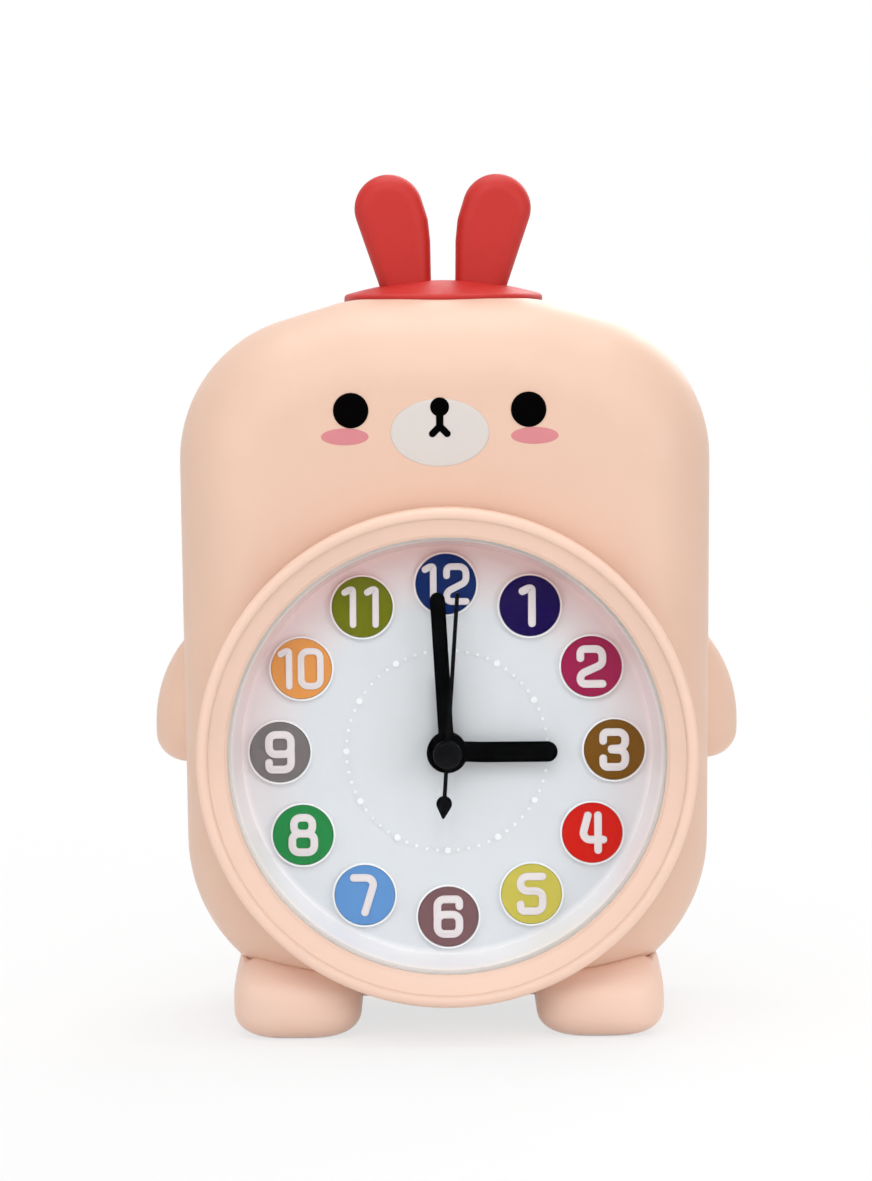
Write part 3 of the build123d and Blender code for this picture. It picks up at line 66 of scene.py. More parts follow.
def srgb(red, green, blue):
    """A colour written in 0 to 255 steps, as the linear values that shaders take."""
    values = []
    for part in (red, green, blue):
        share = part / 255
        values.append(share / 12.92 if share <= 0.04045 else ((share + 0.055) / 1.055) ** 2.4)
    return (*values, 1.0)


def shaded(colour, factor):
    """The colour made darker or lighter."""
    return (*[min(1.0, part * factor) for part in colour[:3]], 1.0)


def new_material(name):
    """An empty node material with its output; gives the material and its node tree."""
    made = bpy.data.materials.new(name)
    made.use_nodes = True
    made.node_tree.nodes.clear()
    made.node_tree.nodes.new("ShaderNodeOutputMaterial")
    return made, made.node_tree


def finish_material(made, shader):
    """Joins the shader to the material's output."""
    output = next(node for node in made.node_tree.nodes if node.type == "OUTPUT_MATERIAL")
    made.node_tree.links.new(shader, output.inputs["Surface"])
    return made


def position(tree):
    """The place of a point in the object's own frame, in metres."""
    return tree.nodes.new("ShaderNodeTexCoord").outputs["Object"]


def principled(name):
    """A new material, with its node tree, its main shader and the place of a point."""
    made, tree = new_material(name)
    return made, tree, tree.nodes.new("ShaderNodeBsdfPrincipled"), position(tree)


def feed(tree, value, socket):
    """Links a socket to another one, or sets a plain value on it."""
    if isinstance(value, bpy.types.NodeSocket):
        tree.links.new(value, socket)
    else:
        socket.default_value = value


def reckoned(tree, operation, *values):
    """The result of one sum over sockets and plain numbers."""
    made = tree.nodes.new("ShaderNodeMath")
    made.operation = operation
    for value, socket in zip(values, made.inputs):
        feed(tree, value, socket)
    return made.outputs["Value"]


def split(tree, place):
    """The x, y and z of a place."""
    made = tree.nodes.new("ShaderNodeSeparateXYZ")
    tree.links.new(place, made.inputs["Vector"])
    return [made.outputs[axis] for axis in "XYZ"]


def vector_length(tree, vector):
    """How long a vector is."""
    made = tree.nodes.new("ShaderNodeVectorMath")
    made.operation = "LENGTH"
    tree.links.new(vector, made.inputs[0])
    return made.outputs["Value"]


def noise(tree, place, size, detail=2.0):
    """Noise whose grains are about the given size in millimetres."""
    made = tree.nodes.new("ShaderNodeTexNoise")
    made.inputs["Scale"].default_value = 1 / (size * MM)
    made.inputs["Detail"].default_value = detail
    tree.links.new(place, made.inputs["Vector"])
    return made.outputs["Fac"]


def ranged(tree, value, low, high, start=0.3, end=0.7):
    """The value spread between two limits."""
    made = tree.nodes.new("ShaderNodeMapRange")
    made.inputs["From Min"].default_value = start
    made.inputs["From Max"].default_value = end
    made.inputs["To Min"].default_value = low
    made.inputs["To Max"].default_value = high
    tree.links.new(value, made.inputs["Value"])
    return made.outputs["Result"]


def mixed(tree, factor, first, second):
    """Two colours or colour sockets mixed by a factor socket."""
    made = tree.nodes.new("ShaderNodeMix")
    made.data_type = "RGBA"
    tree.links.new(factor, made.inputs["Factor"])
    feed(tree, first, made.inputs[6])
    feed(tree, second, made.inputs[7])
    return made.outputs[2]


def mixed_shader(tree, factor, first, second):
    """Two shaders mixed by a factor socket."""
    made = tree.nodes.new("ShaderNodeMixShader")
    tree.links.new(factor, made.inputs["Fac"])
    tree.links.new(first, made.inputs[1])
    tree.links.new(second, made.inputs[2])
    return made.outputs["Shader"]


def stepped(tree, value):
    """A ramp of flat colours over a value; gives its stops and its colour."""
    made = tree.nodes.new("ShaderNodeValToRGB")
    made.color_ramp.interpolation = "CONSTANT"
    tree.links.new(value, made.inputs["Fac"])
    return made.color_ramp.elements, made.outputs["Color"]


def bumped(tree, shader, height, depth):
    """A bump of the given depth in millimetres on a shader."""
    made = tree.nodes.new("ShaderNodeBump")
    made.inputs["Strength"].default_value = 1.0
    made.inputs["Distance"].default_value = depth * MM
    tree.links.new(height, made.inputs["Height"])
    tree.links.new(made.outputs["Normal"], shader.inputs["Normal"])


def polished(tree, shader, grain, low, high):
    """An uneven sheen between two limits of roughness on a shader."""
    tree.links.new(ranged(tree, grain, low, high), shader.inputs["Roughness"])


# Materials: sizes of grains, depths and blends are in millimetres, and the rest are shares

PLASTIC_FLOW = 28
PLASTIC_SHEEN = 6
PLASTIC_SPREAD = 0.06
SEAM_HALF = 0.16
SEAM_SHADE = 0.42

METAL_CLOUD = 3
METAL_DARK = 0.88
METAL_BRIGHT = 1.08
METAL_POLISH = 1.2
METAL_SPREAD = 0.07
METAL_GRAIN = 0.5
METAL_DEPTH = 0.006

CLEAR_INDEX = 1.07
CLEAR_PASSING = 0.97
HAZE_SIZE = 9
HAZE_SPREAD = 0.03

DIAL_FLOW = 22
DIAL_DARK = 0.985
DIAL_BRIGHT = 1.01
DIAL_SHEEN = 5
DIAL_SPREAD = 0.05
DIAL_SPECULAR = 0.35
DIAL_GRAIN = 0.3
DIAL_DEPTH = 0.004
RAISED_FULL = 0.25
RAISED_START = 0.1
WALL_BLEND = 1.2
FLANGE_BLEND = 0.4
# Reach of the painted reflection of the bezel: its drop below the middle and its inner radius
REFLECTION_DROP = 24
REFLECTION_INNER = 26

DISC_CLOUD = 5
DISC_CLOUD_SHARE = 0.05
DISC_CLOUD_COLOUR = srgb(110, 100, 100)
DISC_SHEEN = 2
DISC_SPREAD = 0.06
DISC_SPECULAR = 0.08
DISC_GRAIN = 0.4
DISC_DEPTH = 0.006

SLEEVE_HALF = 30
SLEEVE_METALLIC = 0.6
SLEEVE_SHEEN = 3
SLEEVE_SMOOTHER = 0.05
SLEEVE_ROUGHER = 0.08
SLEEVE_GRAIN = 0.6
SLEEVE_DEPTH = 0.008

WAVES_PER_UNIT = 20
WIRE_WANDER = 0.4
WIRE_DARK = 0.55
WIRE_BRIGHT = 1.1
WIRE_METALLIC = 0.9
WIRE_DEPTH = 0.05


def moulded(
    name, colour, roughness, grain=0.35, depth=0.01, mottle=0.025, specular=0.5, seam=None
):
    """Moulded plastic: fine etched grain, slight flow mottling and an uneven sheen.

    A seam is a place along y where a joint shows as a dark line.
    """
    made, tree, shader, place = principled(name)
    flow = ranged(tree, noise(tree, place, PLASTIC_FLOW, 3.0), 0.0, 1.0)
    tone = mixed(tree, flow, shaded(colour, 1 - mottle), shaded(colour, 1 + mottle))
    if seam is not None:
        _, along, _ = split(tree, place)
        joint = reckoned(tree, "COMPARE", along, seam, SEAM_HALF * MM)
        tone = mixed(tree, joint, tone, shaded(colour, SEAM_SHADE))
    tree.links.new(tone, shader.inputs["Base Color"])
    sheen = noise(tree, place, PLASTIC_SHEEN, 4.0)
    polished(tree, shader, sheen, roughness - PLASTIC_SPREAD, roughness + PLASTIC_SPREAD)
    shader.inputs["Specular IOR Level"].default_value = specular
    bumped(tree, shader, noise(tree, place, grain), depth)
    return finish_material(made, shader.outputs["BSDF"])


def metal(name, colour, roughness):
    """Plated or bare metal with a slightly uneven polish."""
    made, tree, shader, place = principled(name)
    cloud = noise(tree, place, METAL_CLOUD, 3.0)
    tone = mixed(tree, cloud, shaded(colour, METAL_DARK), shaded(colour, METAL_BRIGHT))
    tree.links.new(tone, shader.inputs["Base Color"])
    shader.inputs["Metallic"].default_value = 1.0
    polish = noise(tree, place, METAL_POLISH, 4.0)
    polished(tree, shader, polish, roughness - METAL_SPREAD, roughness + METAL_SPREAD)
    bumped(tree, shader, noise(tree, place, METAL_GRAIN), METAL_DEPTH)
    return finish_material(made, shader.outputs["BSDF"])


def clear(name, tint, roughness):
    """Clear polished plastic; shadow rays pass it, so that what lies behind stays lit."""
    made, tree, shader, place = principled(name)
    shader.inputs["Base Color"].default_value = tint
    shader.inputs["Transmission Weight"].default_value = 1.0
    shader.inputs["IOR"].default_value = CLEAR_INDEX
    haze = noise(tree, place, HAZE_SIZE, 4.0)
    polished(tree, shader, haze, roughness, roughness + HAZE_SPREAD)
    passing = tree.nodes.new("ShaderNodeBsdfTransparent")
    passing.inputs["Color"].default_value = shaded(tint, CLEAR_PASSING)
    shadow = tree.nodes.new("ShaderNodeLightPath").outputs["Is Shadow Ray"]
    blend = mixed_shader(tree, shadow, shader.outputs["BSDF"], passing.outputs["BSDF"])
    return finish_material(made, blend)


def dial_white(name, floor, lit_raised, lit_wall, lit_flange, tint, roughness):
    """White moulded dial whose raised parts, wall and flange are painted brighter than its floor:
    painted light for the light they catch, and on the flange against the bezel's shade.

    Towards the top and the rim, a painted warm reflection of the cream bezel is laid over it.
    """
    made, tree, shader, place = principled(name)
    _, along, up = split(tree, place)
    from_middle = tree.nodes.new("ShaderNodeVectorMath")
    from_middle.operation = "MULTIPLY_ADD"
    from_middle.inputs[1].default_value = (1, 0, 1)
    from_middle.inputs[2].default_value = (0, 0, -DIAL_HEIGHT * MM)
    tree.links.new(place, from_middle.inputs[0])
    radius = vector_length(tree, from_middle.outputs["Vector"])
    flow = ranged(tree, noise(tree, place, DIAL_FLOW, 3.0), 0.0, 1.0)
    tone = mixed(tree, flow, shaded(floor, DIAL_DARK), shaded(floor, DIAL_BRIGHT))
    # Raised parts: painted highlight, a brighter colour standing in for the light their tops catch
    floor_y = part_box("number_discs")[1].y
    full, start = floor_y - RAISED_FULL * MM, floor_y - RAISED_START * MM
    tone = mixed(tree, ranged(tree, along, 1.0, 0.0, full, start), tone, lit_raised)
    # Wall: painted light, a brighter colour standing in for the light the wall catches where it
    # faces up
    foot, rim = (FLOOR_RADIUS - WALL_BLEND) * MM, FLOOR_RADIUS * MM
    tone = mixed(tree, ranged(tree, radius, 0.0, 1.0, foot, rim), tone, lit_wall)
    # Towards the top and the rim: a painted warm reflection of the cream bezel
    lowest, top = (DIAL_HEIGHT - REFLECTION_DROP) * MM, (DIAL_HEIGHT + FLOOR_RADIUS) * MM
    upward = ranged(tree, up, 0.0, 1.0, lowest, top)
    outward = ranged(tree, radius, 0.0, 1.0, REFLECTION_INNER * MM, rim)
    tone = mixed(tree, reckoned(tree, "MULTIPLY", upward, outward), tone, tint)
    # Flange: painted light, near white to lift the shade that the bezel's lip casts on it
    inner, outer = (FLANGE_RADIUS - FLANGE_BLEND) * MM, FLANGE_RADIUS * MM
    tone = mixed(tree, ranged(tree, radius, 0.0, 1.0, inner, outer), tone, lit_flange)
    tree.links.new(tone, shader.inputs["Base Color"])
    sheen = noise(tree, place, DIAL_SHEEN, 4.0)
    polished(tree, shader, sheen, roughness - DIAL_SPREAD, roughness + DIAL_SPREAD)
    shader.inputs["Specular IOR Level"].default_value = DIAL_SPECULAR
    bumped(tree, shader, noise(tree, place, DIAL_GRAIN), DIAL_DEPTH)
    return finish_material(made, shader.outputs["BSDF"])


def disc_colours(name, palette, roughness):
    """One flat colour for each hour, told apart by the direction from the dial's middle."""
    made, tree, shader, place = principled(name)
    across, _, up = split(tree, place)
    lift = reckoned(tree, "SUBTRACT", up, DIAL_HEIGHT * MM)
    angle = reckoned(tree, "ARCTAN2", across, lift)
    stops, colour = stepped(tree, ranged(tree, angle, 0.0, 1.0, -math.pi, math.pi))
    count = len(palette)
    lowest = count // 2
    stops[0].position = 0.0
    stops[0].color = palette[lowest]
    stops[1].position = 1 / (2 * count)
    stops[1].color = palette[lowest + 1]
    for step in range(1, count):
        stop = stops.new((2 * step + 1) / (2 * count))
        stop.color = palette[(lowest + 1 + step) % count]
    cloud = ranged(tree, noise(tree, place, DISC_CLOUD, 3.0), 0.0, DISC_CLOUD_SHARE)
    tone = mixed(tree, cloud, colour, DISC_CLOUD_COLOUR)
    tree.links.new(tone, shader.inputs["Base Color"])
    sheen = noise(tree, place, DISC_SHEEN, 3.0)
    polished(tree, shader, sheen, roughness - DISC_SPREAD, roughness + DISC_SPREAD)
    shader.inputs["Specular IOR Level"].default_value = DISC_SPECULAR
    bumped(tree, shader, noise(tree, place, DISC_GRAIN), DISC_DEPTH)
    return finish_material(made, shader.outputs["BSDF"])


def banded(name, base, band, start, end, roughness):
    """A printed metal sleeve with one band of another colour between two places along x."""
    made, tree, shader, place = principled(name)
    across, _, _ = split(tree, place)
    share = ranged(tree, across, 0.0, 1.0, -SLEEVE_HALF * MM, SLEEVE_HALF * MM)
    stops, colour = stepped(tree, share)
    stops[0].color = base
    stops[1].position = (start + SLEEVE_HALF) / (2 * SLEEVE_HALF)
    stops[1].color = band
    stops.new((end + SLEEVE_HALF) / (2 * SLEEVE_HALF)).color = base
    tree.links.new(colour, shader.inputs["Base Color"])
    shader.inputs["Metallic"].default_value = SLEEVE_METALLIC
    sheen = noise(tree, place, SLEEVE_SHEEN, 4.0)
    polished(tree, shader, sheen, roughness - SLEEVE_SMOOTHER, roughness + SLEEVE_ROUGHER)
    bumped(tree, shader, noise(tree, place, SLEEVE_GRAIN), SLEEVE_DEPTH)
    return finish_material(made, shader.outputs["BSDF"])


def wound(name, colour, pitch, roughness):
    """Fine enamelled wire wound round an axis along x."""
    made, tree, shader, place = principled(name)
    wave = tree.nodes.new("ShaderNodeTexWave")
    wave.wave_type = "BANDS"
    wave.bands_direction = "X"
    wave.inputs["Scale"].default_value = 1 / (pitch * MM) / WAVES_PER_UNIT
    wave.inputs["Distortion"].default_value = WIRE_WANDER
    tree.links.new(place, wave.inputs["Vector"])
    tone = mixed(tree, wave.outputs["Fac"], shaded(colour, WIRE_DARK), shaded(colour, WIRE_BRIGHT))
    tree.links.new(tone, shader.inputs["Base Color"])
    shader.inputs["Metallic"].default_value = WIRE_METALLIC
    shader.inputs["Roughness"].default_value = roughness
    bumped(tree, shader, wave.outputs["Fac"], WIRE_DEPTH)
    return finish_material(made, shader.outputs["BSDF"])


# One cream in three tones: the bezel ring and the feet take the shell's cream painted lighter, as
# painted light for the light they catch
CREAM = srgb(234, 197, 175)
LIT_TRIM_CREAM = srgb(244, 209, 189)
LIT_FOOT_CREAM = srgb(249, 214, 195)
RED = srgb(197, 40, 33)
PALETTE = [
    srgb(7, 38, 98),
    srgb(22, 0, 76),
    srgb(158, 32, 78),
    srgb(120, 78, 18),
    srgb(208, 26, 14),
    srgb(202, 190, 84),
    srgb(124, 90, 94),
    srgb(98, 148, 206),
    srgb(38, 134, 70),
    srgb(120, 114, 114),
    srgb(226, 152, 82),
    srgb(110, 116, 16),
]
HAND = {"grain": 0.25, "depth": 0.006, "mottle": 0.1}
PRINT = {"grain": 0.3, "depth": 0.004}
case_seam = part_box("front_case")[1].y
cream = moulded("cream_shell", CREAM, 0.42, seam=case_seam)
# The ring's and the feet's materials are lighter copies of the shell's cream: painted light
lit_cream_trim = moulded("lit_cream_trim", LIT_TRIM_CREAM, 0.4)
lit_cream_foot = moulded("lit_cream_foot", LIT_FOOT_CREAM, 0.4)
cream_rear = moulded("cream_rear", CREAM, 0.5, grain=0.5, depth=0.02, seam=case_seam)
red = moulded("red_button", RED, 0.5, mottle=0.03, specular=0.4)
# The dial's raised parts, wall and flange are painted lighter, and its tint is a painted
# reflection of the cream bezel
white = dial_white(
    "white_dial",
    floor=srgb(219, 222, 226),
    lit_raised=srgb(244, 245, 247),
    lit_wall=srgb(243, 241, 243),
    lit_flange=srgb(254, 244, 239),
    tint=srgb(240, 208, 204),
    roughness=0.48,
)
raised_white = moulded("raised_numerals", srgb(226, 218, 220), 0.4, mottle=0.02)
black_paint = moulded("black_hand", srgb(3, 3, 4), 0.42, specular=0.012, **HAND)
black_cap = moulded("black_cap", srgb(4, 4, 6), 0.36, specular=0.06, **HAND)
black_print = moulded("black_print", srgb(3, 2, 3), 0.4, mottle=0.1, specular=0.012, **PRINT)
muzzle_print = moulded("muzzle_print", srgb(219, 211, 206), 0.45, **PRINT)
cheek_print = moulded("cheek_print", srgb(217, 134, 140), 0.5, mottle=0.04, **PRINT)
rear_print = moulded("rear_print", srgb(112, 84, 72), 0.5, mottle=0.05, **PRINT)
black_moulded = moulded(
    "black_moulded", srgb(28, 28, 30), 0.45, grain=0.4, depth=0.02, mottle=0.08
)
black_resin = moulded("black_resin", srgb(20, 20, 21), 0.55, grain=0.2, depth=0.012, mottle=0.1)
natural = moulded("gear_plastic", srgb(233, 228, 214), 0.4, mottle=0.03)
board_brown = moulded("board", srgb(150, 108, 62), 0.5, grain=0.6, mottle=0.08)
steel = metal("screw_steel", srgb(196, 196, 198), 0.3)
spring_steel = metal("spring_steel", srgb(205, 206, 208), 0.24)
iron = metal("stator_iron", srgb(150, 150, 152), 0.42)
magnet = metal("magnet", srgb(70, 70, 74), 0.5)
can = metal("crystal_can", srgb(215, 215, 217), 0.2)
copper = wound("coil_copper", srgb(190, 108, 62), pitch=0.25, roughness=0.35)
lens_clear = clear("clear_lens", srgb(252, 253, 253), 0.0)
lamp_clear = clear("lamp_clear", srgb(250, 250, 244), 0.05)
sleeve = banded(
    "battery_sleeve", srgb(52, 74, 112), srgb(205, 150, 96), start=8, end=24, roughness=0.32
)
discs = disc_colours("number_colours", PALETTE, 0.42)

finishes = {
    cream: ["front_case", "left_arm", "right_arm"],
    lit_cream_trim: ["bezel_ring"],
    lit_cream_foot: ["left_foot", "right_foot"],
    cream_rear: ["rear_cover", "battery_door"],
    lens_clear: ["lens"],
    white: ["dial"],
    discs: ["number_discs"],
    red: ["snooze_button"],
    black_paint: ["alarm_hand", "hour_hand", "minute_hand"],
    black_cap: ["second_hand"],
    steel: ["case_screws", "foot_screws", "movement_screws", "board_screws"],
    black_moulded: [
        "movement_base",
        "movement_cover",
        "time_knob",
        "alarm_knob",
        "alarm_switch",
    ],
    natural: [
        "intermediate_wheel",
        "second_wheel",
        "third_wheel",
        "centre_wheel",
        "cannon_pinion",
        "minute_wheel",
        "hour_wheel",
        "alarm_wheel",
        "time_arbor",
        "alarm_arbor",
    ],
    iron: ["stator"],
    copper: ["coil"],
    magnet: ["rotor"],
    spring_steel: [
        "clutch_washer",
        "button_spring",
        "button_clip",
        "battery_plate",
        "battery_spring",
    ],
    board_brown: ["circuit_board"],
    black_resin: ["chip", "button_switch", "buzzer", "switch_box"],
    can: ["quartz_crystal"],
    lamp_clear: ["lamp"],
    sleeve: ["battery"],
}
for finish, names in finishes.items():
    for name in names:
        mesh = nodes[name].data
        mesh.materials.clear()
        mesh.materials.append(finish)


# Tools for the pieces made here

WELD = 1e-4
SLIVER = 1e-5
NEARLY_STRAIGHT = 0.02
BEND_STEPS = 7
CAP_STEPS = 12
STROKE_PROFILE = [(0.0, 1.0), (0.72, 1.0), (0.9, 0.9), (1.0, 0.62), (1.0, 0.0)]
PATCH_PROFILE = [(1.0, 0.0), (1.0, 0.5), (0.975, 0.85), (0.93, 1.0), (0.5, 1.04)]


def add_piece(name, form, finish, body):
    """Welds a built form, and puts it into the scene in metres as a piece that rides on a body."""
    bmesh.ops.remove_doubles(form, verts=form.verts, dist=WELD)
    bmesh.ops.dissolve_degenerate(form, edges=form.edges, dist=SLIVER)
    bmesh.ops.recalc_face_normals(form, faces=form.faces)
    bmesh.ops.scale(form, vec=(MM, MM, MM), verts=form.verts)
    mesh = bpy.data.meshes.new(name)
    form.to_mesh(mesh)
    form.free()
    mesh.materials.append(finish)
    for polygon in mesh.polygons:
        polygon.use_smooth = True
    piece = bpy.data.objects.new(name, mesh)
    bpy.context.scene.collection.objects.link(piece)
    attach(piece, body)
    return piece


def skin(form, rings):
    """Faces between each closed ring of points and the next."""
    for ring, following in zip(rings, rings[1:]):
        for index in range(len(ring)):
            beside = (index + 1) % len(ring)
            form.faces.new((ring[index], ring[beside], following[beside], following[index]))


def rounded_path(corners, radius, closed=False):
    """The corners joined by straight runs, with each bend drawn as an arc."""
    path = []
    count = len(corners)
    for index, corner in enumerate(corners):
        here = Vector(corner)
        if not closed and index in (0, count - 1):
            path.append(here)
            continue
        before = Vector(corners[index - 1]) - here
        after = Vector(corners[(index + 1) % count]) - here
        bend = before.angle(after) / 2
        if math.pi / 2 - bend < NEARLY_STRAIGHT:
            path.append(here)
            continue
        reach = min(radius / math.tan(bend), before.length / 2, after.length / 2)
        inward = (before.normalized() + after.normalized()).normalized()
        middle = here + inward * (reach * math.tan(bend) / math.sin(bend))
        start = here + before.normalized() * reach - middle
        end = here + after.normalized() * reach - middle
        sweep = start.angle_signed(end)
        for step in range(BEND_STEPS + 1):
            turned = start.copy()
            turned.rotate(Matrix.Rotation(-sweep * step / BEND_STEPS, 2))
            path.append(middle + turned)
    return path


def round_end(point, outward):
    """The points and directions of a half turn round the end of a stroke."""
    spots = []
    for step in range(1, CAP_STEPS):
        turned = outward.copy()
        turned.rotate(Matrix.Rotation(-math.pi * step / CAP_STEPS, 2))
        spots.append((point, turned))
    return spots


def ribbon(form, path, closed, width, height, floor):
    """Adds a flat-topped raised stroke of constant width with round ends.

    Its path lies in the x, z plane, and it rises from a floor towards the front.
    """
    count = len(path)
    normals = []
    for index in range(count):
        if closed:
            step = path[(index + 1) % count] - path[index - 1]
        else:
            step = path[min(index + 1, count - 1)] - path[max(index - 1, 0)]
        direction = step.normalized()
        normals.append(Vector((-direction.y, direction.x)))
    one_side = list(zip(path, normals))
    other_side = [(point, -normal) for point, normal in one_side]
    if closed:
        outlines = [one_side, other_side]
    else:
        far_end = round_end(path[-1], normals[-1])
        near_end = round_end(path[0], -normals[0])
        outlines = [one_side + far_end + other_side[::-1] + near_end]
    for outline in outlines:
        columns = []
        for point, outward in outline:
            column = []
            for reach, rise in STROKE_PROFILE:
                spot = point + outward * (reach * width / 2)
                column.append(form.verts.new((spot.x, floor - rise * height, spot.y)))
            column.append(form.verts.new((point.x, floor, point.y)))
            columns.append(column)
        for index, column in enumerate(columns):
            following = columns[(index + 1) % len(columns)]
            for level in range(len(column)):
                lower = (level + 1) % len(column)
                form.faces.new(
                    (column[level], following[level], following[lower], column[lower])
                )


def print_patch(form, outline, rise, floor):
    """Adds a thin closed patch with a softly rounded edge over an outline round its middle."""
    centre = sum(outline, Vector((0, 0))) / len(outline)
    rows = []
    for share, height in PATCH_PROFILE:
        row = []
        for point in outline:
            spot = centre + (point - centre) * share
            row.append(form.verts.new((spot.x, floor - rise * height, spot.y)))
        rows.append(row)
    skin(form, rows)
    form.faces.new(rows[-1])
    form.faces.new(rows[0][::-1])


def ellipse(x, z, width, height, count=72):
    """Points round an ellipse."""
    points = []
    for step in range(count):
        turn = 2 * math.pi * step / count
        points.append(Vector((x + width / 2 * math.cos(turn), z + height / 2 * math.sin(turn))))
    return points


# Numerals: strokes of one width with rounded bends, drawn in a box one wide and one high
left, right, low, high = -0.5, 0.5, -0.5, 0.5
BOX = (True, [(left, low), (right, low), (right, high), (left, high)])
TWO = [
    (left, 0.24),
    (left, high),
    (right, high),
    (right, 0.06),
    (left, -0.22),
    (left, low),
    (right, low),
]
FIVE = [
    (right, high),
    (left, high),
    (left, 0.08),
    (right, 0.08),
    (right, low),
    (left, low),
    (left, -0.3),
]
DIGITS = {
    "0": [BOX],
    "1": [(False, [(-0.36, 0.42), (-0.12, high), (0.06, high), (0.06, low)])],
    "2": [(False, TWO)],
    "3": [
        (False, [(left, 0.25), (left, high), (right, high), (right, 0.04), (-0.12, 0.02)]),
        (False, [(-0.12, 0.0), (right, -0.02), (right, low), (left, low), (left, -0.25)]),
    ],
    "4": [
        (False, [(-0.2, high), (left, -0.2), (right, -0.2)]),
        (False, [(0.26, high), (0.26, low)]),
    ],
    "5": [(False, FIVE)],
    "6": [
        (False, [(right, 0.3), (right, high), (left, high), (left, 0.0)]),
        (True, [(left, low), (right, low), (right, 0.06), (left, 0.06)]),
    ],
    "7": [(False, [(left, high), (right, high), (0.0, low)])],
    "8": [
        (True, [(-0.42, 0.04), (0.42, 0.04), (0.42, high), (-0.42, high)]),
        (True, [(left, low), (right, low), (right, 0.04), (left, 0.04)]),
    ],
    "9": [
        (False, [(left, -0.3), (left, low), (right, low), (right, 0.0)]),
        (True, [(left, -0.06), (right, -0.06), (right, high), (left, high)]),
    ],
}
DIGIT_HEIGHT = 6.5
DIGIT_WIDTH = 4.1
NARROW_WIDTH = 3.6
STROKE = 1.45
NARROW_STROKE = 1.25
STROKE_RISE = 0.35
STROKE_STEP = 0.012
SINK = 0.03
BEND_RADIUS = 1.3
DIGIT_PLACES = {"1": [0.15], "10": [-2.55, 1.7], "11": [-1.95, 2.25], "12": [-2.55, 1.95]}
disc_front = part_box("number_discs")[0].y / MM
for number in range(1, 13):
    turn = math.radians(30 * number)
    hub_x = NUMBER_RING * math.sin(turn)
    hub_z = DIAL_HEIGHT + NUMBER_RING * math.cos(turn)
    word = str(number)
    narrow = len(word) == 2
    stroke = NARROW_STROKE if narrow else STROKE
    breadth = NARROW_WIDTH if narrow else DIGIT_WIDTH
    form = bmesh.new()
    for digit, offset in zip(word, DIGIT_PLACES.get(word, [0.0])):
        for order, (closed, corners) in enumerate(DIGITS[digit]):
            places = []
            for across, up in corners:
                places.append((hub_x + offset + across * breadth, hub_z + up * DIGIT_HEIGHT))
            path = rounded_path(places, BEND_RADIUS, closed)
            rise = STROKE_RISE + order * STROKE_STEP
            floor = disc_front + SINK - order * SINK / 2
            ribbon(form, path, closed, stroke, rise, floor)
    add_piece(f"numeral_{number}", form, raised_white, "case")


# Face: prints laid on the flat front of the case, which lies behind the proud collar
COLLAR_PROUD = 1.0
FACE_SHIFT = -0.9
FACE_HEIGHT = 112.8
CHEEK_REACH = 17.4
CHEEK_DROP = 0.65
CHEEK_WIDTH = 8.7
CHEEK_HEIGHT = 3.1
CHEEK_RISE = 0.05
EYE_REACH = 16.3
EYE_LIFT = 4.15
EYE_SIZE = 6.5
EYE_RISE = 0.22
MUZZLE_WIDTH = 18.1
MUZZLE_HEIGHT = 12.4
MUZZLE_RISE = 0.12
NOSE_LIFT = 4.7
NOSE_SIZE = 3.5
NOSE_RISE = 0.2
NOSE_SINK = 0.1
STEM_TOP = 4.0
STEM_END = 1.0
STEM_WIDTH = 1.35
STEM_RISE = 0.18
STEM_SINK = 0.02
MOUTH_REACH = 1.35
MOUTH_TOP = 1.15
MOUTH_END = -0.2
MOUTH_BEND = 0.2
MOUTH_WIDTH = 1.3
MOUTH_RISE = 0.16
MOUTH_SINK = 0.03
case_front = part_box("front_case")[0].y / MM + COLLAR_PROUD
for side, name in ((-1, "left"), (1, "right")):
    form = bmesh.new()
    cheek_x, cheek_z = FACE_SHIFT + side * CHEEK_REACH, FACE_HEIGHT - CHEEK_DROP
    outline = ellipse(cheek_x, cheek_z, CHEEK_WIDTH, CHEEK_HEIGHT)
    print_patch(form, outline, CHEEK_RISE, case_front)
    add_piece(f"{name}_cheek", form, cheek_print, "case")
    form = bmesh.new()
    eye_x, eye_z = FACE_SHIFT + side * EYE_REACH, FACE_HEIGHT + EYE_LIFT
    print_patch(form, ellipse(eye_x, eye_z, EYE_SIZE, EYE_SIZE), EYE_RISE, case_front)
    add_piece(f"{name}_eye", form, black_print, "case")
form = bmesh.new()
outline = ellipse(FACE_SHIFT, FACE_HEIGHT, MUZZLE_WIDTH, MUZZLE_HEIGHT, 96)
print_patch(form, outline, MUZZLE_RISE, case_front)
add_piece("muzzle", form, muzzle_print, "case")
muzzle_front = case_front - MUZZLE_RISE
form = bmesh.new()
outline = ellipse(FACE_SHIFT, FACE_HEIGHT + NOSE_LIFT, NOSE_SIZE, NOSE_SIZE, 48)
print_patch(form, outline, NOSE_RISE, muzzle_front + NOSE_SINK)
stem = [Vector((FACE_SHIFT, FACE_HEIGHT + level)) for level in (STEM_TOP, STEM_END)]
ribbon(form, stem, False, STEM_WIDTH, STEM_RISE, muzzle_front + STEM_SINK)
mouth = [
    (FACE_SHIFT - MOUTH_REACH, FACE_HEIGHT + MOUTH_END),
    (FACE_SHIFT, FACE_HEIGHT + MOUTH_TOP),
    (FACE_SHIFT + MOUTH_REACH, FACE_HEIGHT + MOUTH_END),
]
mouth_path = rounded_path(mouth, MOUTH_BEND)
ribbon(form, mouth_path, False, MOUTH_WIDTH, MOUTH_RISE, muzzle_front + MOUTH_SINK)
add_piece("nose_and_mouth", form, black_print, "case")


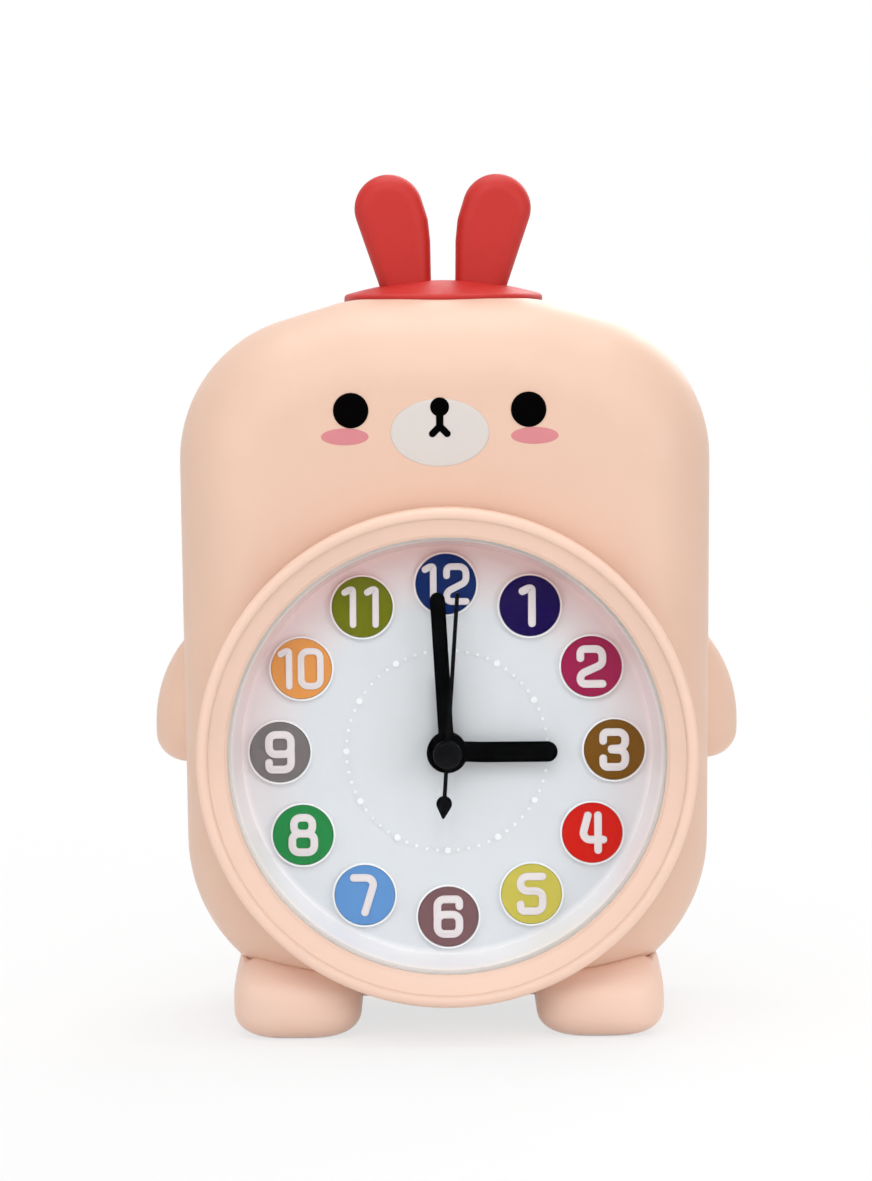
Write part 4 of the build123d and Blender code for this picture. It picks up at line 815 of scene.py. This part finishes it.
# Marks on the rear cover and the battery door, drawn as they are read from behind
MARK_RISE = 0.12
MARK_WIDTH = 0.5
SOFT_BEND = 0.5
TIGHT_BEND = 0.1
LETTER_WIDTH = 1.7
LETTER_HEIGHT = 2.5
LETTER_PITCH = 2.7
ROUND_LETTER_BEND = 0.6
SWITCH_WORD_REACH = 11.0
LONG_WORD_SHIFT = 1.0
ARROW_RADIUS = 9.4
ARROW_STEPS = 16
ARROW_HEAD = 1.6
ARROW_SPREAD = 0.7
ARROW_TIP = 0.2
ARROW_RIGHT = 40
ARROW_LEFT = 140
SYMBOL_DROP = 11.5
DIAL_SYMBOL = 4.2
DIAL_SYMBOL_HANDS = [(0, 1.3), (0, 0), (0.9, 0)]
BELL = [(-2.2, -1.3), (-1.4, -0.5), (-1.3, 1.9), (1.3, 1.9), (1.4, -0.5), (2.2, -1.3)]
BELL_BEND = 1.1
CLAPPER = [(-0.3, -2.3), (0.3, -2.3)]
POLE_REACH = 24.0
POLE_ARM = 1.8
LEVEL_ARM = [(-POLE_ARM, 0), (POLE_ARM, 0)]
UPRIGHT_ARM = [(0, -POLE_ARM), (0, POLE_ARM)]
LETTERS = {
    "O": [BOX],
    "N": [(False, [(left, low), (left, high), (right, low), (right, high)])],
    "F": [
        (False, [(left, low), (left, high), (right, high)]),
        (False, [(left, 0.02), (0.36, 0.02)]),
    ],
}
rear_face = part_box("rear_cover")[1].y / MM


def middle_of(name):
    """The middle of a node as it is seen from behind: across to the right and up."""
    lowest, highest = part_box(name)
    return Vector((-(lowest.x + highest.x) / 2 / MM, (lowest.z + highest.z) / 2 / MM))


def rear_stroke(form, corners, closed=False, bend=SOFT_BEND, order=0, at=(0, 0)):
    """A low printed stroke on the rear face; a later order lies a little higher."""
    places = [(-at[0] - across, at[1] + up) for across, up in corners]
    path = rounded_path(places, bend, closed)
    rise = MARK_RISE + order * STROKE_STEP
    ribbon(form, path, closed, MARK_WIDTH, -rise, rear_face - SINK)


def rear_word(form, word, centre):
    """A short word in strokes."""
    for index, letter in enumerate(word):
        shift = (index - (len(word) - 1) / 2) * LETTER_PITCH
        bend = ROUND_LETTER_BEND if letter == "O" else TIGHT_BEND
        for order, (closed, corners) in enumerate(LETTERS[letter]):
            spots = [(across * LETTER_WIDTH, up * LETTER_HEIGHT) for across, up in corners]
            rear_stroke(form, spots, closed, bend, order, centre + Vector((shift, 0)))


def turn_arrow(form, centre, start, end):
    """An arc over a knob from one angle to another, with an arrow head at its end."""
    arc = []
    for step in range(ARROW_STEPS + 1):
        turn = math.radians(start + (end - start) * step / ARROW_STEPS)
        arc.append(centre + ARROW_RADIUS * Vector((math.cos(turn), math.sin(turn))))
    rear_stroke(form, arc)
    tip = arc[-1]
    onward = (tip - arc[-2]).normalized()
    across = ARROW_SPREAD * ARROW_HEAD * Vector((-onward.y, onward.x))
    tail = tip - ARROW_HEAD * onward
    head = [tail - across, tip + ARROW_TIP * onward, tail + across]
    rear_stroke(form, head, bend=TIGHT_BEND, order=1)


form = bmesh.new()
time_middle = middle_of("time_knob")
alarm_middle = middle_of("alarm_knob")
turn_arrow(form, time_middle, ARROW_RIGHT, ARROW_LEFT)
turn_arrow(form, alarm_middle, ARROW_LEFT, ARROW_RIGHT)
dial_sign = time_middle - Vector((0, SYMBOL_DROP))
rear_stroke(form, ellipse(0, 0, DIAL_SYMBOL, DIAL_SYMBOL, 32), True, at=dial_sign)
rear_stroke(form, DIAL_SYMBOL_HANDS, bend=TIGHT_BEND, order=1, at=dial_sign)
bell_sign = alarm_middle - Vector((0, SYMBOL_DROP))
rear_stroke(form, BELL, True, BELL_BEND, at=bell_sign)
rear_stroke(form, CLAPPER, order=1, at=bell_sign)
switch_middle = Vector((middle_of("switch_box").x, middle_of("alarm_switch").y))
rear_word(form, "ON", switch_middle - Vector((SWITCH_WORD_REACH, 0)))
rear_word(form, "OFF", switch_middle + Vector((SWITCH_WORD_REACH + LONG_WORD_SHIFT, 0)))
add_piece("rear_marks", form, rear_print, "case")
form = bmesh.new()
door_middle = middle_of("battery_door")
minus_side = 1 if middle_of("battery_spring").x > middle_of("battery_plate").x else -1
minus = door_middle + Vector((minus_side * POLE_REACH, 0))
plus = door_middle - Vector((minus_side * POLE_REACH, 0))
rear_stroke(form, LEVEL_ARM, at=minus)
rear_stroke(form, LEVEL_ARM, at=plus)
rear_stroke(form, UPRIGHT_ARM, order=1, at=plus)
add_piece("door_marks", form, rear_print, "door")


# Feet: full toes that swell out from under the case and tuck up against its lower edge
CASE_BOTTOM = 6.3
HIP_CENTRE = 18.3
HIP_RADIUS = 30.5
FRONT_ROUND = 16.0
FOOT_MIDDLE = 6.5
FOOT_TOP = 18.5
FOOT_POWER = 3.1
TOE_SIDE = 8.0
TOE_SIDE_POWER = 2.3
TOE_UNDER = 6.0
TOE_UNDER_POWER = 2.2
TOE_OVER = 22.0
HEEL = 4.0
ROUND_POWER = 2.0
TUCK = 0.3
TOE_RINGS = 16
SOLE_RINGS = 12
HEEL_RINGS = 8
FOOT_POINTS = 96


def swelling(depth, reach, power=ROUND_POWER):
    """How much of its full size a rounded end has at a depth behind its tip."""
    if depth >= reach:
        return 1.0
    return (1 - ((reach - depth) / reach) ** power) ** (1 / power)


def squared(share):
    """A part of a round outline pushed out towards a rounded square."""
    return math.copysign(abs(share) ** (2 / FOOT_POWER), share)


def case_underside(x, depth):
    """The height of the case's lower surface over a place."""
    inset = 0.0
    if depth < FRONT_ROUND:
        inset = FRONT_ROUND - math.sqrt(FRONT_ROUND**2 - (FRONT_ROUND - depth) ** 2)
    radius = HIP_RADIUS - inset
    beyond = max(abs(x) - HIP_CENTRE, 0.0)
    if beyond >= radius:
        return FOOT_TOP
    return CASE_BOTTOM + HIP_RADIUS - math.sqrt(radius**2 - beyond**2)


def foot_depths(length):
    """The depths of a foot's rings behind its tip, closer together at the toe and the heel."""
    quarter = math.pi / 2
    depths = []
    for step in range(1, TOE_RINGS + 1):
        depths.append(TOE_SIDE * (1 - math.cos(quarter * step / TOE_RINGS)))
    for step in range(1, SOLE_RINGS + 1):
        depths.append(TOE_SIDE + (length - HEEL - TOE_SIDE) * step / SOLE_RINGS)
    for step in range(1, HEEL_RINGS):
        depths.append(length - HEEL * (1 - math.sin(quarter * step / HEEL_RINGS)))
    return depths


for name in ("left_foot", "right_foot"):
    foot_low, foot_high = (Vector(corner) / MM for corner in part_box(name))
    foot_middle = (foot_low.x + foot_high.x) / 2
    half_width = (foot_high.x - foot_low.x) / 2
    length = foot_high.y - foot_low.y
    form = bmesh.new()
    rings = []
    for depth in foot_depths(length):
        heel = swelling(length - depth, HEEL)
        wide = half_width * swelling(depth, TOE_SIDE, TOE_SIDE_POWER) * heel
        under = FOOT_MIDDLE * swelling(depth, TOE_UNDER, TOE_UNDER_POWER) * heel
        over = (FOOT_TOP - FOOT_MIDDLE) * swelling(depth, TOE_OVER) * heel
        ring = []
        for step in range(FOOT_POINTS):
            angle = 2 * math.pi * step / FOOT_POINTS
            x = foot_middle + wide * squared(math.cos(angle))
            up = math.sin(angle)
            z = FOOT_MIDDLE + (over if up > 0 else under) * squared(up)
            z = min(z, case_underside(x, depth) + TUCK)
            ring.append(form.verts.new((x, foot_low.y + depth, z)))
        rings.append(ring)
    skin(form, rings)
    for ring, depth in ((rings[0], 0.0), (rings[-1], length)):
        tip = form.verts.new((foot_middle, foot_low.y + depth, FOOT_MIDDLE))
        for step in range(FOOT_POINTS):
            form.faces.new((ring[step], ring[(step + 1) % FOOT_POINTS], tip))
    piece = add_piece(f"{name}_toe", form, lit_cream_foot, "case")
    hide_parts(name)


# Button spring: wound wire with flat end turns
WIRE = 0.6
WIRE_SIDES = 12
COIL_TURNS = 4.7
COIL_STEPS = 220
END_TURNS = 0.45
UPWARD = Vector((0, 0, 1))
spring_low, spring_high = (Vector(corner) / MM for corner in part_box("button_spring"))
coil_middle = (spring_low + spring_high) / 2
coil_radius = (spring_high.x - spring_low.x) / 2 - WIRE / 2
spring_height = spring_high.z - spring_low.z
form = bmesh.new()
rings = []
for step in range(COIL_STEPS + 1):
    turns = COIL_TURNS * step / COIL_STEPS
    climb = min(max((turns - END_TURNS) / (COIL_TURNS - 2 * END_TURNS), 0.0), 1.0)
    level = spring_low.z + WIRE / 2 + climb * (spring_height - WIRE)
    outward = Vector((math.cos(2 * math.pi * turns), math.sin(2 * math.pi * turns), 0))
    core = Vector((coil_middle.x, coil_middle.y, level)) + coil_radius * outward
    ring = []
    for side in range(WIRE_SIDES):
        angle = 2 * math.pi * side / WIRE_SIDES
        round_wire = math.cos(angle) * outward + math.sin(angle) * UPWARD
        ring.append(form.verts.new(core + WIRE / 2 * round_wire))
    rings.append(ring)
skin(form, rings)
form.faces.new(rings[0])
form.faces.new(rings[-1][::-1])
spring = add_piece("wound_button_spring", form, spring_steel, "case")
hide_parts("button_spring")
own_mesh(spring)


# Stage, light and camera

WHITE = (1, 1, 1, 1)
GROUND = (0.9, 0.9, 0.9, 1)
GROUND_HALF = 6.0
NEAR_WHITE = 0.72
NEAR_REACH = 0.1
FAR_REACH = 0.4
LEVEL_LIGHT = 0.12
OVERHEAD_LIGHT = 0.5


def looked_at(tree):
    """One for rays that the camera sends, also through a gloss or a clear piece; else zero."""
    path = tree.nodes.new("ShaderNodeLightPath")
    value = path.outputs["Is Camera Ray"]
    for kind in ("Is Glossy Ray", "Is Transmission Ray"):
        value = reckoned(tree, "MAXIMUM", value, path.outputs[kind])
    direct = reckoned(tree, "LESS_THAN", path.outputs["Diffuse Depth"], 0.5)
    return reckoned(tree, "MULTIPLY", value, direct)


def stage_material():
    """White ground that keeps a soft shadow near the clock.

    It looks white further out and in reflections.
    """
    made, tree = new_material("stage_white")
    cloth = tree.nodes.new("ShaderNodeBsdfDiffuse")
    cloth.inputs["Color"].default_value = GROUND
    glow = tree.nodes.new("ShaderNodeEmission")
    glow.inputs["Color"].default_value = WHITE
    glow.inputs["Strength"].default_value = 1.0
    reach = vector_length(tree, position(tree))
    fade = ranged(tree, reach, NEAR_WHITE, 1.0, NEAR_REACH, FAR_REACH)
    share = reckoned(tree, "MULTIPLY", looked_at(tree), fade)
    blend = mixed_shader(tree, share, cloth.outputs["BSDF"], glow.outputs["Emission"])
    return finish_material(made, blend)


def studio_floor():
    """A wide plain floor."""
    form = bmesh.new()
    bmesh.ops.create_grid(form, x_segments=8, y_segments=8, size=GROUND_HALF)
    mesh = bpy.data.meshes.new("studio_floor")
    form.to_mesh(mesh)
    form.free()
    mesh.materials.append(stage_material())
    made = bpy.data.objects.new("studio_floor", mesh)
    bpy.context.scene.collection.objects.link(made)


def soft_lamp(name, place, aim, size, power):
    """A square softbox at a place, turned to an aim point."""
    lamp_data = bpy.data.lights.new(name, "AREA")
    lamp_data.shape = "SQUARE"
    lamp_data.size = size
    lamp_data.energy = power
    lamp = bpy.data.objects.new(name, lamp_data)
    bpy.context.scene.collection.objects.link(lamp)
    lamp.location = place
    lamp.rotation_mode = "QUATERNION"
    lamp.rotation_quaternion = (Vector(aim) - Vector(place)).to_track_quat("-Z", "Y")


def studio_world():
    """Soft light that grows towards the top, with a white backdrop where it is looked at."""
    world = bpy.data.worlds.new("studio")
    bpy.context.scene.world = world
    world.use_nodes = True
    tree = world.node_tree
    tree.nodes.clear()
    output = tree.nodes.new("ShaderNodeOutputWorld")
    around = tree.nodes.new("ShaderNodeTexCoord").outputs["Generated"]
    _, _, up = split(tree, around)
    light = tree.nodes.new("ShaderNodeBackground")
    light.inputs["Color"].default_value = WHITE
    level = ranged(tree, up, LEVEL_LIGHT, OVERHEAD_LIGHT, 0.0, 1.0)
    tree.links.new(level, light.inputs["Strength"])
    backdrop = tree.nodes.new("ShaderNodeBackground")
    backdrop.inputs["Color"].default_value = WHITE
    backdrop.inputs["Strength"].default_value = 1.0
    shaders = light.outputs["Background"], backdrop.outputs["Background"]
    choice = mixed_shader(tree, looked_at(tree), *shaders)
    tree.links.new(choice, output.inputs["Surface"])


studio_floor()
soft_lamp("key_light", (-0.04, -0.9, 0.72), (0, 0, 0.08), 0.7, 3.45)
soft_lamp("right_fill", (0.8, -0.7, 0.25), (0, 0, 0.06), 0.7, 2.4)
soft_lamp("left_fill", (-0.8, -0.7, 0.25), (0, 0, 0.06), 0.7, 2.1)
soft_lamp("top_light", (0.0, 0.0, 0.95), (0, 0, 0.1), 0.7, 3.9)
soft_lamp("rear_light", (0.3, 0.75, 0.6), (0, 0, 0.08), 0.6, 2.9)
studio_world()

bpy.context.scene.view_settings.view_transform = "Standard"

# Camera: angles in degrees, the focal length in the photograph's pixels
IMAGE_HEIGHT = 1181
FOCAL_PIXELS = 4208
SENSOR = 36.0
NEAREST = 0.01
DISTANCE = 800.0
MIDDLE_PLANE = -1.25
CAMERA_HEIGHT = 138.8
CAMERA_SIDE = -1.83
TILT = 4.08
ROLL = -0.457
camera_data = bpy.data.cameras.new("camera")
camera_data.sensor_width = SENSOR
camera_data.lens = SENSOR * FOCAL_PIXELS / IMAGE_HEIGHT
camera_data.clip_start = NEAREST
camera = bpy.data.objects.new("camera", camera_data)
bpy.context.scene.collection.objects.link(camera)
camera.location = (CAMERA_SIDE * MM, (MIDDLE_PLANE - DISTANCE) * MM, CAMERA_HEIGHT * MM)
tilted = Matrix.Rotation(math.radians(90 - TILT), 4, "X")
camera.rotation_euler = (tilted @ Matrix.Rotation(math.radians(ROLL), 4, "Z")).to_euler()
bpy.context.scene.camera = camera
